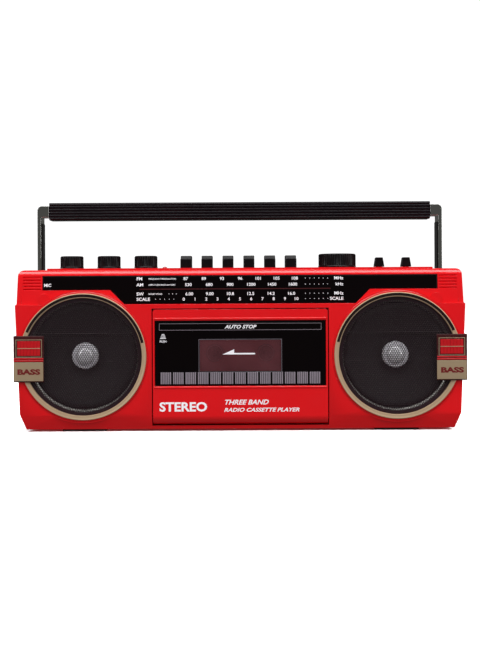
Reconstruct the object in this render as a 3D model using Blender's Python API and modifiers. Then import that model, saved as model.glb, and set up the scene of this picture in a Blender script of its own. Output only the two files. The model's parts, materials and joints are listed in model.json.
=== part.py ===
"""Portable radio-cassette player with two speakers, a dial, a cassette deck and a carrying handle.

Metres, +Z up, the front faces -Y. The origin is on the ground under the middle of the player.
Every sub-part is one closed solid in its own object. Touching pieces keep a gap of GAP.
"""
import math

import bmesh
import bpy
from mathutils import Matrix, Vector

for old in list(bpy.data.objects):
    bpy.data.objects.remove(old, do_unlink=True)

# ---------------------------------------------------------------- driving dimensions
GAP = 0.0003                  # between pieces that touch
WALL = 0.0025                 # cabinet walls
FRONT_WALL = 0.0048           # the thicker front wall that carries the speakers

FOOT_HEIGHT = 0.002
CABINET_TOP = 0.132           # above the ground
FRONT_Y = -0.0455             # the lower front face
REAR_Y = 0.0485
PARTING_Y = 0.0               # where the two cabinet halves meet

HALF_WIDTH = 0.1831           # front cabinet at the step line
BASE_TAPER = 0.0084           # each side is in by this along the ground edge
CHAMFER_TAPER = 0.0036        # and by this at the top of the bottom corner chamfers
CORNER_CHAMFER = 0.013
SHOULDER_TAPER = 0.0018       # and by this just under the top corners
TOP_CORNER_RADIUS = 0.0045
STEP_DEPTH = 0.003            # the upper front is set back by this at the step line
STEP_BELOW_TOP = 0.0285
STEP_LEDGE = 0.0008
UPPER_LEAN = 0.0015           # and leans back by this up to the top edge
TOP_EDGE_RADIUS = 0.0055
LOWER_EDGE_DEPTH = 0.0045     # bevel along the bottom of the front
LOWER_EDGE_HEIGHT = 0.011

PANEL_SIDE_MARGIN = 0.0233    # raised control panel on top, to the side of the cabinet
PANEL_RISE = 0.0013
PANEL_FRONT_Y = -0.0375

REAR_LOWER_INSET = 0.0041     # the rear half is narrower than the front half by this each side
REAR_UPPER_INSET = 0.0139     # and by this above its shoulders, where the handle's arms run
REAR_SHOULDER_Z = 0.082
REAR_CHAMFER = 0.0045
AERIAL_BED_WIDTH = 0.0165     # ledge along the rear top edge that the aerial lies in
AERIAL_BED_SPACE = 0.0015     # under the tube, for the foot of its swivel

SPEAKER_DOOR_SPACE = 0.002    # door gap to the speaker's boss
SPEAKER_Z = 0.0613
BOSS_RADIUS = 0.0539
RING_RADIUS = 0.0528
RING_INNER_RADIUS = 0.048
RING_PROUD = 0.0015           # ring's rim stands this far in front of the cabinet
RING_SEAT_DEPTH = 0.0023
GRILLE_THICKNESS = 0.001
SPEAKER_HOLE_RADIUS = 0.0462
BASKET_RADIUS = 0.0495
BASKET_DEPTH = 0.0205
CONE_RADIUS = 0.0435
DUST_CAP_RADIUS = 0.011
MAGNET_RADIUS = 0.027
MAGNET_LENGTH = 0.015

BADGE_WIDTH = 0.0248
BADGE_HEIGHT = 0.0375
BADGE_Z = 0.05975
BADGE_PROUD = 0.0009          # the badge's side plate stands this far outside the step line
BADGE_PLATE = 0.0012
BADGE_SIDE_DEPTH = 0.026

DIAL_SIDE_MARGIN = 0.0203     # lens to the side of the cabinet
DIAL_SLOPE_INSET = 0.0219     # the lens steps down at 45 degrees, this far inside each speaker's middle
DIAL_MARGIN_TOP = 0.005       # lens to cabinet top
DIAL_MARGIN_STEP = 0.0006     # lens to the step line, in the middle
DIAL_END_HEIGHT = 0.0113
LENS_THICKNESS = 0.0022
POINTER_X = 0.042

DOOR_HALF_WIDTH = 0.0712
DOOR_BOTTOM = 0.0055
DOOR_TOP_BELOW_STEP = 0.0041
DOOR_GAP = 0.0008
DOOR_THICKNESS = 0.0036
DOOR_HINGE_RADIUS = 0.0075    # round bottom edge of the door, about its hinge line
HINGE_PIN_RADIUS = 0.0015
WINDOW_SIDE_MARGIN = 0.0018
WINDOW_BOTTOM = 0.0373
WINDOW_TOP_MARGIN = 0.0093
WINDOW_SINK = 0.0009          # window face behind the door face
WINDOW_THICKNESS = 0.0014
WINDOW_LIP = 0.0022

CASSETTE_WIDTH = 0.1004
CASSETTE_HEIGHT = 0.0638
CASSETTE_DEPTH = 0.012
CASSETTE_CLEARANCE = 0.0006
HUB_SPACING = 0.0425
HUB_Z = 0.0627
HUB_ABOVE_BASE = 0.029        # hub line above the cassette's long closed edge
HOLDER_WALL = 0.0022
HOLDER_HEIGHT = 0.058
SPINDLE_RADIUS = 0.003
REEL_TABLE_RADIUS = 0.0073
CAPSTAN_X = -0.030
CAPSTAN_ABOVE_HUB = 0.0253
CAPSTAN_RADIUS = 0.0012
PINCH_RADIUS = 0.0064
PINCH_AXLE_RADIUS = 0.0015
HEAD_TRAVEL = 0.008
HEAD_WIDTH = 0.013

CHASSIS_SIDE_MARGIN = 0.0038  # plate beyond the door's edge
CHASSIS_Y = -0.024            # front face of the chassis plate
CHASSIS_PLATE = 0.002
CHASSIS_BELOW_TOP = 0.014
CHASSIS_NECK = 0.050          # half-width of the plate above the cassette well
FLYWHEEL_RADIUS = 0.024
FLYWHEEL_WIDTH = 0.0042
PULLEY_RADIUS = 0.005
MOTOR_X = 0.045
MOTOR_Z = 0.040
MOTOR_RADIUS = 0.016
BELT_THICKNESS = 0.0012
BELT_WIDTH = 0.0022
SHAFT_CLEARANCE = 0.0004

CONTROL_Y = -0.0200           # line of the controls on top
KNOB_RADIUS = 0.0098
KNOB_HEIGHT = 0.0096
KNOB_SHAFT_RADIUS = 0.003
KNOB_SHAFT_LENGTH = 0.0105
KNOB_XS = {"volume_knob": -0.1402, "tone_knob": -0.1092, "balance_knob": -0.0784}
TUNING_X = 0.0812
TUNING_RADIUS = 0.01575
TUNING_HEIGHT = 0.0105
LAMP_X = -0.0626
LAMP_RADIUS = 0.00225
KEY_NAMES = ("record_key", "play_key", "rewind_key", "forward_key", "stop_key", "pause_key")
KEY_PITCH = 0.0174
KEY_ROW_X = -0.0012
KEY_WIDTH = 0.0091
KEY_LENGTH = 0.0205
KEY_FRONT_RISE = 0.0077
KEY_REAR_RISE = 0.0104
KEY_STEP = 0.0075             # length of the lower front part of a key
KEY_DEPTH = 0.0065            # key body below the panel
KEY_CLEARANCE = 0.0005
SWITCH_XS = {"band_switch": 0.1161, "function_switch": 0.1385}
SWITCH_WIDTH = 0.0084
SWITCH_HEIGHT = 0.0078
SWITCH_TRAVEL = 0.004
CONTROL_LIFT = 0.0005         # knobs and caps clear the panel by this

HANDLE_SIDE_CLEARANCE = 0.0008  # arm to the side of the rear cabinet
HANDLE_PLATE = 0.003
HANDLE_DEPTH = 0.018
HANDLE_Y = 0.011
PIVOT_Y = 0.0115
PIVOT_Z = 0.097
PIVOT_RADIUS = 0.003
PIVOT_HEAD_RADIUS = 0.0065
PIVOT_HEAD_LENGTH = 0.002
HANDLE_RISE = 0.0583          # top of the handle above the cabinet
GRIP_END_MARGIN = 0.010       # grip's end to the outside of the arm
GRIP_HEIGHT = 0.0149
GRIP_WALL = 0.0024
GRIP_RIBS = 5
GRIP_RIB_DEPTH = 0.0006

BATTERY_LEFT = -0.131
BATTERY_RIGHT = -0.003
BATTERY_BOTTOM = 0.009
BATTERY_BELOW_SHOULDER = 0.003
BATTERY_DEPTH = 0.038
BATTERY_WALL = 0.0015
BATTERY_DOOR_THICKNESS = 0.0024
INLET_X = 0.070
INLET_Z = 0.030
INLET_SIZE = (0.024, 0.015)
SOCKET_X = 0.030
SOCKET_RADIUS = 0.005
SCREW_X = 0.160
SCREW_LOW_Z = 0.016
SCREW_BELOW_TOP = 0.024
SCREW_RADIUS = 0.0016
SCREW_HEAD_RADIUS = 0.0034
POST_RADIUS = 0.0045
FOOT_X = 0.128
FOOT_WIDTH = 0.036
FOOT_LENGTH = 0.074

AERIAL_X = 0.152
AERIAL_RADIUS = 0.0035
AERIAL_LENGTH = 0.275
TUBE_WALL = 0.0006
TUBE_CLEARANCE = 0.0004
SWIVEL_RADIUS = 0.005
AERIAL_LUG = 0.0055           # pivot to the near end of the outer tube

# ---------------------------------------------------------------- sizes that follow
BASE_HALF_WIDTH = HALF_WIDTH - BASE_TAPER
CHAMFER_HALF_WIDTH = HALF_WIDTH - CHAMFER_TAPER
SHOULDER_HALF_WIDTH = HALF_WIDTH - SHOULDER_TAPER
PANEL_HALF_WIDTH = SHOULDER_HALF_WIDTH - PANEL_SIDE_MARGIN
DIAL_HALF_WIDTH = SHOULDER_HALF_WIDTH - DIAL_SIDE_MARGIN
REAR_LOWER_HALF_WIDTH = HALF_WIDTH - REAR_LOWER_INSET
REAR_UPPER_HALF_WIDTH = HALF_WIDTH - REAR_UPPER_INSET
HANDLE_HALF_WIDTH = REAR_UPPER_HALF_WIDTH + HANDLE_SIDE_CLEARANCE + HANDLE_PLATE
GRIP_HALF_LENGTH = HANDLE_HALF_WIDTH - GRIP_END_MARGIN
WINDOW_HALF_WIDTH = DOOR_HALF_WIDTH - WINDOW_SIDE_MARGIN
SPEAKER_X = DOOR_HALF_WIDTH + DOOR_GAP + SPEAKER_DOOR_SPACE + BOSS_RADIUS
DIAL_SLOPE_X = SPEAKER_X - DIAL_SLOPE_INSET
CHASSIS_HALF_WIDTH = DOOR_HALF_WIDTH + CHASSIS_SIDE_MARGIN
AERIAL_BED_DEPTH = 2 * AERIAL_RADIUS + AERIAL_BED_SPACE
HANDLE_TOP = CABINET_TOP + HANDLE_RISE
CHASSIS_TOP = CABINET_TOP - CHASSIS_BELOW_TOP
BATTERY_TOP = REAR_SHOULDER_Z - BATTERY_BELOW_SHOULDER
SCREW_HIGH_Z = CABINET_TOP - SCREW_BELOW_TOP
STEP_Z = CABINET_TOP - STEP_BELOW_TOP
PANEL_Z = CABINET_TOP + PANEL_RISE
DOOR_TOP = STEP_Z - DOOR_TOP_BELOW_STEP
WINDOW_TOP = DOOR_TOP - WINDOW_TOP_MARGIN
DOOR_HINGE_Y = FRONT_Y + DOOR_HINGE_RADIUS
DOOR_HINGE_Z = DOOR_BOTTOM + DOOR_HINGE_RADIUS
FRONT_INNER_Y = FRONT_Y + FRONT_WALL
HOLDER_FRONT_Y = FRONT_Y + DOOR_THICKNESS + GAP
HOLDER_DEPTH = CASSETTE_DEPTH + 2 * CASSETTE_CLEARANCE
CASSETTE_BASE_Z = HUB_Z - HUB_ABOVE_BASE
CAPSTAN_Z = HUB_Z + CAPSTAN_ABOVE_HUB
PINCH_Z = CAPSTAN_Z + CAPSTAN_RADIUS + PINCH_RADIUS + GAP + HEAD_TRAVEL
HEAD_PLATE_Y = CHASSIS_Y - GAP
BADGE_FRONT_Y = FRONT_Y - RING_PROUD - GAP - BADGE_PLATE
AERIAL_Z = CABINET_TOP - AERIAL_RADIUS - GAP
AERIAL_Y = REAR_Y - AERIAL_BED_WIDTH / 2 - 0.001

# ---------------------------------------------------------------- collections and materials
assembly = bpy.data.collections.new("cassette_player")
cutters = bpy.data.collections.new("cutters")
bpy.context.scene.collection.children.link(assembly)
bpy.context.scene.collection.children.link(cutters)

FINISHES = {                  # red, green, blue as seen (0 to 255), roughness, metallic
    "red_plastic": ((196, 14, 20), 0.22, 0.0),
    "black_plastic": ((22, 18, 20), 0.42, 0.0),
    "black_gloss": ((10, 5, 7), 0.08, 0.0),
    "gold_metal": ((168, 142, 112), 0.32, 1.0),
    "chrome": ((196, 196, 192), 0.14, 1.0),
    "steel": ((150, 150, 148), 0.35, 1.0),
    "grille_black": ((31, 20, 23), 0.5, 0.0),
    "speaker_paper": ((58, 56, 58), 0.75, 0.0),
    "badge_red": ((140, 20, 22), 0.3, 0.0),
    "dark_plastic": ((48, 46, 48), 0.5, 0.0),
    "window": ((8, 4, 5), 0.06, 0.0),
    "lamp_red": ((150, 24, 20), 0.15, 0.0),
    "board_green": ((46, 84, 50), 0.5, 0.0),
    "rubber": ((28, 27, 28), 0.8, 0.0),
    "ferrite": ((60, 58, 60), 0.7, 0.0),
    "copper": ((176, 112, 72), 0.4, 1.0),
}
materials = {}


def linear(channel):
    """One 0 to 255 colour channel as the linear value that a shader takes."""
    value = channel / 255
    return value / 12.92 if value <= 0.04045 else ((value + 0.055) / 1.055) ** 2.4


def finish(name):
    """The Principled material of one finish, made once."""
    if name not in materials:
        colour, roughness, metallic = FINISHES[name]
        material = bpy.data.materials.new(name)
        material.use_nodes = True
        shader = material.node_tree.nodes["Principled BSDF"]
        shader.inputs["Base Color"].default_value = (*map(linear, colour), 1)
        shader.inputs["Roughness"].default_value = roughness
        shader.inputs["Metallic"].default_value = metallic
        material.diffuse_color = (*map(linear, colour), 1)
        materials[name] = material
    return materials[name]


# ---------------------------------------------------------------- shapes, all as meshes in place
TURN_TO = {                   # turns a shape made along Z so that it runs along the named axis
    "X": Matrix.Rotation(math.pi / 2, 4, "Y"),
    "Y": Matrix.Rotation(-math.pi / 2, 4, "X"),
    "Z": Matrix.Identity(4),
}
LAY_IN = {                    # puts a flat (u, v) outline in the plane across the named axis
    "X": Matrix(((0, 0, 1, 0), (1, 0, 0, 0), (0, 1, 0, 0), (0, 0, 0, 1))),
    "Y": Matrix(((1, 0, 0, 0), (0, 0, -1, 0), (0, 1, 0, 0), (0, 0, 0, 1))),
    "Z": Matrix.Identity(4),
}
AXES = {"X": Vector((1, 0, 0)), "Y": Vector((0, 1, 0)), "Z": Vector((0, 0, 1))}
WELD = 1e-6


def evaluated(item):
    """An object's final mesh in the world's frame; the object and its data are removed."""
    bpy.context.view_layer.update()
    graph = bpy.context.evaluated_depsgraph_get()
    mesh = bpy.data.meshes.new_from_object(item.evaluated_get(graph))
    mesh.transform(item.matrix_world)
    bpy.data.objects.remove(item, do_unlink=True)
    return mesh


def cleaned(mesh):
    """The mesh with its loose seams welded and its faces turned outwards."""
    work = bmesh.new()
    work.from_mesh(mesh)
    bmesh.ops.remove_doubles(work, verts=work.verts, dist=WELD)
    bmesh.ops.recalc_face_normals(work, faces=work.faces)
    work.to_mesh(mesh)
    work.free()
    return mesh


def box(low, high):
    """A box between two corners."""
    work = bmesh.new()
    bmesh.ops.create_cube(work, size=1)
    size = [top - bottom for bottom, top in zip(low, high)]
    centre = [(top + bottom) / 2 for bottom, top in zip(low, high)]
    bmesh.ops.transform(work, verts=work.verts, matrix=Matrix.Translation(centre) @ Matrix.Diagonal((*size, 1)))
    mesh = bpy.data.meshes.new("box")
    work.to_mesh(mesh)
    work.free()
    return mesh


def cylinder(along, centre, radius, start, end, sides=24, end_radius=None):
    """A round bar or cone from start to end along one axis; centre gives the other two coordinates."""
    work = bmesh.new()
    bmesh.ops.create_cone(work, cap_ends=True, segments=sides, radius1=radius,
                          radius2=radius if end_radius is None else end_radius, depth=end - start)
    place = Vector(centre)
    place["XYZ".index(along)] = (start + end) / 2
    bmesh.ops.transform(work, verts=work.verts, matrix=Matrix.Translation(place) @ TURN_TO[along])
    mesh = bpy.data.meshes.new("cylinder")
    work.to_mesh(mesh)
    work.free()
    return mesh


def prism(outline, along, start, end):
    """A flat outline carried straight from start to end along one axis."""
    curve = bpy.data.curves.new("outline", "CURVE")
    curve.dimensions = "2D"
    curve.fill_mode = "BOTH"
    curve.extrude = (end - start) / 2
    spline = curve.splines.new("POLY")
    spline.points.add(len(outline) - 1)
    for point, (u, v) in zip(spline.points, outline):
        point.co = (u, v, 0, 1)
    spline.use_cyclic_u = True
    guide = bpy.data.objects.new("outline", curve)
    cutters.objects.link(guide)
    guide.matrix_world = Matrix.Translation(AXES[along] * (start + end) / 2) @ LAY_IN[along]
    mesh = evaluated(guide)
    bpy.data.curves.remove(curve)
    return cleaned(mesh)


def turned(profile, along, centre, sides=48, ring=False):
    """A profile of (radius, height) points turned about an axis through centre, height along it.

    An open profile starts and ends on the axis; a ring's profile is a closed loop off the axis.
    """
    mesh = bpy.data.meshes.new("turned")
    count = len(profile)
    edges = [(index, (index + 1) % count) for index in range(count if ring else count - 1)]
    mesh.from_pydata([(radius, 0, height) for radius, height in profile], edges, [])
    guide = bpy.data.objects.new("turned", mesh)
    cutters.objects.link(guide)
    screw = guide.modifiers.new("turn", "SCREW")
    screw.axis = "Z"
    screw.steps = sides
    screw.render_steps = sides
    screw.use_merge_vertices = True
    screw.merge_threshold = WELD
    guide.matrix_world = Matrix.Translation(centre) @ TURN_TO[along]
    return cleaned(evaluated(guide))


def boolean(mesh, tool, operation):
    """One exact Boolean of two meshes; both are used up."""
    base = bpy.data.objects.new("base", mesh)
    cutter = bpy.data.objects.new("cutter", tool)
    cutter.hide_render = True
    cutter.display_type = "WIRE"
    cutters.objects.link(base)
    cutters.objects.link(cutter)
    modifier = base.modifiers.new("boolean", "BOOLEAN")
    modifier.operation = operation
    modifier.solver = "EXACT"
    modifier.object = cutter
    result = evaluated(base)
    bpy.data.objects.remove(cutter, do_unlink=True)
    return result


def cut(mesh, *tools):
    """The mesh less each tool in turn."""
    for tool in tools:
        mesh = boolean(mesh, tool, "DIFFERENCE")
    return mesh


def join(mesh, *others):
    """The mesh and the others as one body."""
    for other in others:
        mesh = boolean(mesh, other, "UNION")
    return mesh


def common(mesh, *others):
    """What the mesh and all the others share."""
    for other in others:
        mesh = boolean(mesh, other, "INTERSECT")
    return mesh


def part(name, mesh, material, pivot=(0, 0, 0)):
    """A named sub-part from a mesh in place, with its origin at pivot."""
    mesh.name = name
    mesh.transform(Matrix.Translation(-Vector(pivot)))
    mesh.materials.clear()
    mesh.materials.append(finish(material))
    mesh.shade_smooth()
    mesh.set_sharp_from_angle(angle=math.radians(32))
    item = bpy.data.objects.new(name, mesh)
    item.location = pivot
    assembly.objects.link(item)
    return item


def arc(centre, radius, start, end, steps):
    """Points of an arc in a flat outline, from start to end degrees."""
    angles = (math.radians(start + (end - start) * step / steps) for step in range(steps + 1))
    return [(centre[0] + radius * math.cos(a), centre[1] + radius * math.sin(a)) for a in angles]


def mirrored(half):
    """A closed outline from its right half, listed from the bottom to the top."""
    return half + [(-x, z) for x, z in reversed(half)]


# ---------------------------------------------------------------- cabinet
def front_outline(inset=0.0):
    """The front cabinet seen from the front; inset moves every side in."""
    corner = max(TOP_CORNER_RADIUS - inset, TOP_CORNER_RADIUS / 3)
    side = SHOULDER_HALF_WIDTH - inset
    top = CABINET_TOP - inset
    bottom = FOOT_HEIGHT + inset
    half = [
        (BASE_HALF_WIDTH - inset, bottom),
        (CHAMFER_HALF_WIDTH - inset, bottom + CORNER_CHAMFER),
        (HALF_WIDTH - inset, STEP_Z),
        (HALF_WIDTH - STEP_LEDGE - inset, STEP_Z + STEP_LEDGE),
    ]
    return mirrored(half + arc((side - corner, top - corner), corner, 0, 90, 4))


def front_profile(inset=0.0, front_inset=0.0, back=PARTING_Y - GAP / 2):
    """The front cabinet seen from the side, as (y, z); the front wall may be thicker than the rest."""
    front = FRONT_Y + front_inset
    upper = FRONT_Y + STEP_DEPTH + inset
    top = CABINET_TOP - inset
    bottom = FOOT_HEIGHT + inset
    edge = max(TOP_EDGE_RADIUS - inset, TOP_EDGE_RADIUS / 3)
    lean = upper + UPPER_LEAN
    return [
        (back, bottom),
        (front + max(LOWER_EDGE_DEPTH - front_inset, 0), bottom),
        (front, bottom + LOWER_EDGE_HEIGHT),
        (front, STEP_Z),
        (upper, STEP_Z),
        *arc((lean + edge, top - edge), edge, 180, 90, 5),
        (back, top),
    ]


def speaker_disc(side, radius, start, end, sides=64):
    """A disc about one speaker's axis, from start to end in y."""
    return cylinder("Y", (side * SPEAKER_X, 0, SPEAKER_Z), radius, start, end, sides)


def key_centre(index):
    """The x of one key in the row."""
    return KEY_ROW_X + (index - (len(KEY_NAMES) - 1) / 2) * KEY_PITCH


def screw_places():
    """The four case screws as (name, x, z)."""
    for index, (side, z) in enumerate(((-1, SCREW_LOW_Z), (1, SCREW_LOW_Z), (-1, SCREW_HIGH_Z), (1, SCREW_HIGH_Z))):
        yield "case_screw_%d" % (index + 1), side * SCREW_X, z


def dial_outline(inset=0.0):
    """The dial lens seen from the front: deep in the middle, stepped up at both ends."""
    top = CABINET_TOP - DIAL_MARGIN_TOP - inset
    low = STEP_Z + DIAL_MARGIN_STEP + inset
    shelf = CABINET_TOP - DIAL_MARGIN_TOP - DIAL_END_HEIGHT + inset
    slope = shelf - low
    end = DIAL_HALF_WIDTH - inset
    return mirrored([(DIAL_SLOPE_X - slope, low), (DIAL_SLOPE_X, shelf), (end, shelf), (end, top)])


def front_cabinet():
    """The red front half: walls, speaker bosses, the openings and the posts for the case screws."""
    back = PARTING_Y - GAP / 2
    width = HALF_WIDTH + 0.01
    shell = prism(front_profile(), "X", -width, width)
    for side in (-1, 1):
        shell = join(shell, speaker_disc(side, BOSS_RADIUS, FRONT_Y, FRONT_Y + STEP_DEPTH + UPPER_LEAN))
    shell = common(shell, prism(front_outline(), "Y", FRONT_Y - 0.01, 0.01))
    cavity = common(prism(front_profile(WALL, FRONT_WALL, 0.01), "X", -width, width),
                    prism(front_outline(WALL), "Y", FRONT_Y - 0.01, 0.02))
    shell = cut(shell, cavity)
    for side in (-1, 1):
        low, high = sorted((side * (REAR_UPPER_HALF_WIDTH - WALL), side * width))
        ear = common(box((low, back - WALL, REAR_SHOULDER_Z - 2 * WALL), (high, back, CABINET_TOP)),
                     prism(front_outline(WALL / 2), "Y", FRONT_Y, 0.01))
        shell = join(shell, ear)
    panel = box((-PANEL_HALF_WIDTH, PANEL_FRONT_Y, CABINET_TOP - WALL / 2), (PANEL_HALF_WIDTH, back, PANEL_Z))
    shell = join(shell, panel)
    for side in (-1, 1):
        shell = cut(shell,
                    speaker_disc(side, RING_RADIUS + GAP, FRONT_Y - 0.01, FRONT_Y + RING_SEAT_DEPTH),
                    speaker_disc(side, SPEAKER_HOLE_RADIUS, FRONT_Y, FRONT_INNER_Y + 0.004),
                    speaker_disc(side, BASKET_RADIUS + GAP, FRONT_INNER_Y + GAP / 3, FRONT_INNER_Y + 0.006))
    half = DOOR_HALF_WIDTH + DOOR_GAP
    shell = cut(shell,
                box((-half, FRONT_Y - 0.01, DOOR_BOTTOM - DOOR_GAP), (half, FRONT_INNER_Y + 0.004, DOOR_TOP + DOOR_GAP)),
                prism(dial_outline(-GAP), "Y", FRONT_Y - 0.01, FRONT_INNER_Y + 0.008))
    for _, x, z in screw_places():
        post = cylinder("Y", (x, 0, z), POST_RADIUS, FRONT_INNER_Y - FRONT_WALL / 2, back - GAP, 16)
        bore = cylinder("Y", (x, 0, z), SCREW_RADIUS + GAP, back - 0.016, 0.01, 16)
        shell = cut(join(shell, post), bore)
    low = CABINET_TOP - 0.006
    high = PANEL_Z + 0.01
    for x in KNOB_XS.values():
        shell = cut(shell, cylinder("Z", (x, CONTROL_Y, 0), KNOB_SHAFT_RADIUS + SHAFT_CLEARANCE, low, high))
    shell = cut(shell,
                cylinder("Z", (TUNING_X, CONTROL_Y, 0), KNOB_SHAFT_RADIUS + SHAFT_CLEARANCE, low, high),
                cylinder("Z", (LAMP_X, CONTROL_Y, 0), LAMP_RADIUS + GAP, low, high, 16))
    key_half = KEY_WIDTH / 2 + KEY_CLEARANCE
    key_reach = KEY_LENGTH / 2 + KEY_CLEARANCE
    for index in range(len(KEY_NAMES)):
        x = key_centre(index)
        shell = cut(shell, box((x - key_half, CONTROL_Y - key_reach, low), (x + key_half, CONTROL_Y + key_reach, high)))
    stem = SWITCH_WIDTH / 4 + KEY_CLEARANCE
    reach = SWITCH_WIDTH / 3 + SWITCH_TRAVEL + KEY_CLEARANCE
    for x in SWITCH_XS.values():
        shell = cut(shell, box((x - stem, CONTROL_Y - reach, low), (x + stem, CONTROL_Y + reach, high)))
    part("front_cabinet", shell, "red_plastic")


def rear_outline(inset=0.0):
    """The rear cabinet seen from the front: wide below, narrow above where the handle arms lie beside it."""
    bottom = FOOT_HEIGHT + inset
    lower = REAR_LOWER_HALF_WIDTH - inset
    upper = REAR_UPPER_HALF_WIDTH - inset
    shoulder = REAR_SHOULDER_Z - inset
    return mirrored([
        (lower - REAR_CHAMFER, bottom),
        (lower, bottom + CORNER_CHAMFER),
        (lower, shoulder),
        (upper, shoulder),
        (upper, CABINET_TOP - inset),
    ])


def rear_profile(inset=0.0, front=PARTING_Y + GAP / 2):
    """The rear cabinet seen from the side, as (y, z), with the ledge for the aerial."""
    rear = REAR_Y - inset
    bottom = FOOT_HEIGHT + inset
    bed = CABINET_TOP - AERIAL_BED_DEPTH - inset
    return [
        (front, bottom),
        (rear - REAR_CHAMFER, bottom),
        (rear, bottom + REAR_CHAMFER),
        (rear, bed),
        (rear - AERIAL_BED_WIDTH, bed),
        (rear - AERIAL_BED_WIDTH, CABINET_TOP - inset),
        (front, CABINET_TOP - inset),
    ]


SCREW_SEAT_Y = REAR_Y - 0.0085


def rear_cabinet():
    """The rear half: walls, battery well, screw posts and the holes for inlet, socket, aerial and pivots."""
    width = HALF_WIDTH
    shell = common(prism(rear_profile(), "X", -width, width), prism(rear_outline(), "Y", -0.01, REAR_Y + 0.01))
    cavity = common(prism(rear_profile(WALL, -0.01), "X", -width, width),
                    prism(rear_outline(WALL), "Y", -0.02, REAR_Y + 0.01))
    shell = cut(shell, cavity)
    edge = BATTERY_WALL
    well = box((BATTERY_LEFT - edge, REAR_Y - BATTERY_DEPTH - edge, BATTERY_BOTTOM - edge),
               (BATTERY_RIGHT + edge, REAR_Y - WALL / 2, BATTERY_TOP + edge))
    hollow = box((BATTERY_LEFT, REAR_Y - BATTERY_DEPTH, BATTERY_BOTTOM), (BATTERY_RIGHT, REAR_Y + 0.01, BATTERY_TOP))
    shell = cut(join(shell, well), hollow)
    for _, x, z in screw_places():
        post = cylinder("Y", (x, 0, z), POST_RADIUS, PARTING_Y + GAP, REAR_Y - WALL / 2, 16)
        bore = cylinder("Y", (x, 0, z), SCREW_RADIUS + GAP, -0.01, REAR_Y, 16)
        counterbore = cylinder("Y", (x, 0, z), SCREW_HEAD_RADIUS + GAP, SCREW_SEAT_Y, REAR_Y + 0.01, 16)
        shell = cut(join(shell, post), bore, counterbore)
    width, height = INLET_SIZE
    shell = cut(shell,
                box((INLET_X - width / 2 - GAP, REAR_Y - 0.01, INLET_Z - height / 2 - GAP),
                    (INLET_X + width / 2 + GAP, REAR_Y + 0.01, INLET_Z + height / 2 + GAP)),
                cylinder("Y", (SOCKET_X, 0, INLET_Z), SOCKET_RADIUS + GAP, REAR_Y - 0.01, REAR_Y + 0.01),
                cylinder("Z", (AERIAL_X, AERIAL_Y, 0), SWIVEL_RADIUS / 2 + GAP, CABINET_TOP - 0.02, CABINET_TOP))
    for side in (-1, 1):
        reach = sorted((side * (REAR_UPPER_HALF_WIDTH - 2 * WALL), side * (REAR_UPPER_HALF_WIDTH + 0.01)))
        shell = cut(shell, cylinder("X", (0, PIVOT_Y, PIVOT_Z), PIVOT_RADIUS + GAP, *reach))
    part("rear_cabinet", shell, "black_plastic")


def dial_lens():
    """The black dial window, curved with the upper front."""
    width = DIAL_HALF_WIDTH + 0.01
    slab = cut(prism(front_profile(GAP, back=0), "X", -width, width),
               prism(front_profile(GAP + LENS_THICKNESS, LENS_THICKNESS, 0.01), "X", -width - 0.01, width + 0.01))
    lens = common(slab, prism(dial_outline(), "Y", FRONT_Y - 0.01, FRONT_INNER_Y + 0.008))
    part("dial_lens", lens, "black_gloss")


def speaker(side, suffix):
    """One speaker: trim ring, grille, frame with magnet, and the paper cone with its dust cap."""
    centre = (side * SPEAKER_X, 0, SPEAKER_Z)
    seat = FRONT_Y + RING_SEAT_DEPTH - GAP
    rim = FRONT_Y - RING_PROUD
    ring = turned([
        (RING_RADIUS, seat),
        (RING_RADIUS, rim),
        (RING_RADIUS - 0.001, rim),
        (RING_INNER_RADIUS, FRONT_Y + RING_PROUD / 2),
        (RING_INNER_RADIUS, seat),
    ], "Y", centre, 64, ring=True)
    part("speaker_ring_" + suffix, ring, "gold_metal")
    grille = cylinder("Y", centre, RING_INNER_RADIUS - GAP, seat - GRILLE_THICKNESS, seat, 64)
    part("speaker_grille_" + suffix, grille, "grille_black")
    flange = FRONT_INNER_Y + GAP
    bottom = flange + BASKET_DEPTH
    sheet = 0.0015
    frame = turned([
        (0, bottom),
        (MAGNET_RADIUS * 0.7, bottom),
        (CONE_RADIUS + sheet, flange + sheet),
        (CONE_RADIUS + sheet, flange),
        (BASKET_RADIUS, flange),
        (BASKET_RADIUS, flange + sheet),
        (CONE_RADIUS + 2 * sheet, flange + sheet),
        (MAGNET_RADIUS * 0.8, bottom + sheet),
        (MAGNET_RADIUS, bottom + sheet),
        (MAGNET_RADIUS, bottom + sheet + MAGNET_LENGTH),
        (0, bottom + sheet + MAGNET_LENGTH),
    ], "Y", centre, 32)
    part("speaker_frame_" + suffix, frame, "steel")
    cap = bottom - 0.004
    paper = 0.0008
    cone = turned([
        (0, cap - 0.004),
        (DUST_CAP_RADIUS * 0.55, cap - 0.0032),
        (DUST_CAP_RADIUS, cap),
        (CONE_RADIUS, flange + paper),
        (CONE_RADIUS, flange + 2 * paper),
        (DUST_CAP_RADIUS, cap + paper),
        (0, cap + paper),
    ], "Y", centre, 32)
    part("speaker_cone_" + suffix, cone, "speaker_paper")


def bass_badge(side, suffix):
    """The badge that wraps the side edge beside one speaker."""
    outer = HALF_WIDTH + BADGE_PROUD
    low, high = sorted((side * outer, side * (outer - BADGE_WIDTH)))
    bottom = BADGE_Z - BADGE_HEIGHT / 2
    block = box((low, BADGE_FRONT_Y, bottom), (high, BADGE_FRONT_Y + BADGE_SIDE_DEPTH, bottom + BADGE_HEIGHT))
    inside = prism(front_outline(-GAP), "Y", BADGE_FRONT_Y + BADGE_PLATE, 0.01)
    part("bass_badge_" + suffix, cut(block, inside), "gold_metal")


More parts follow.
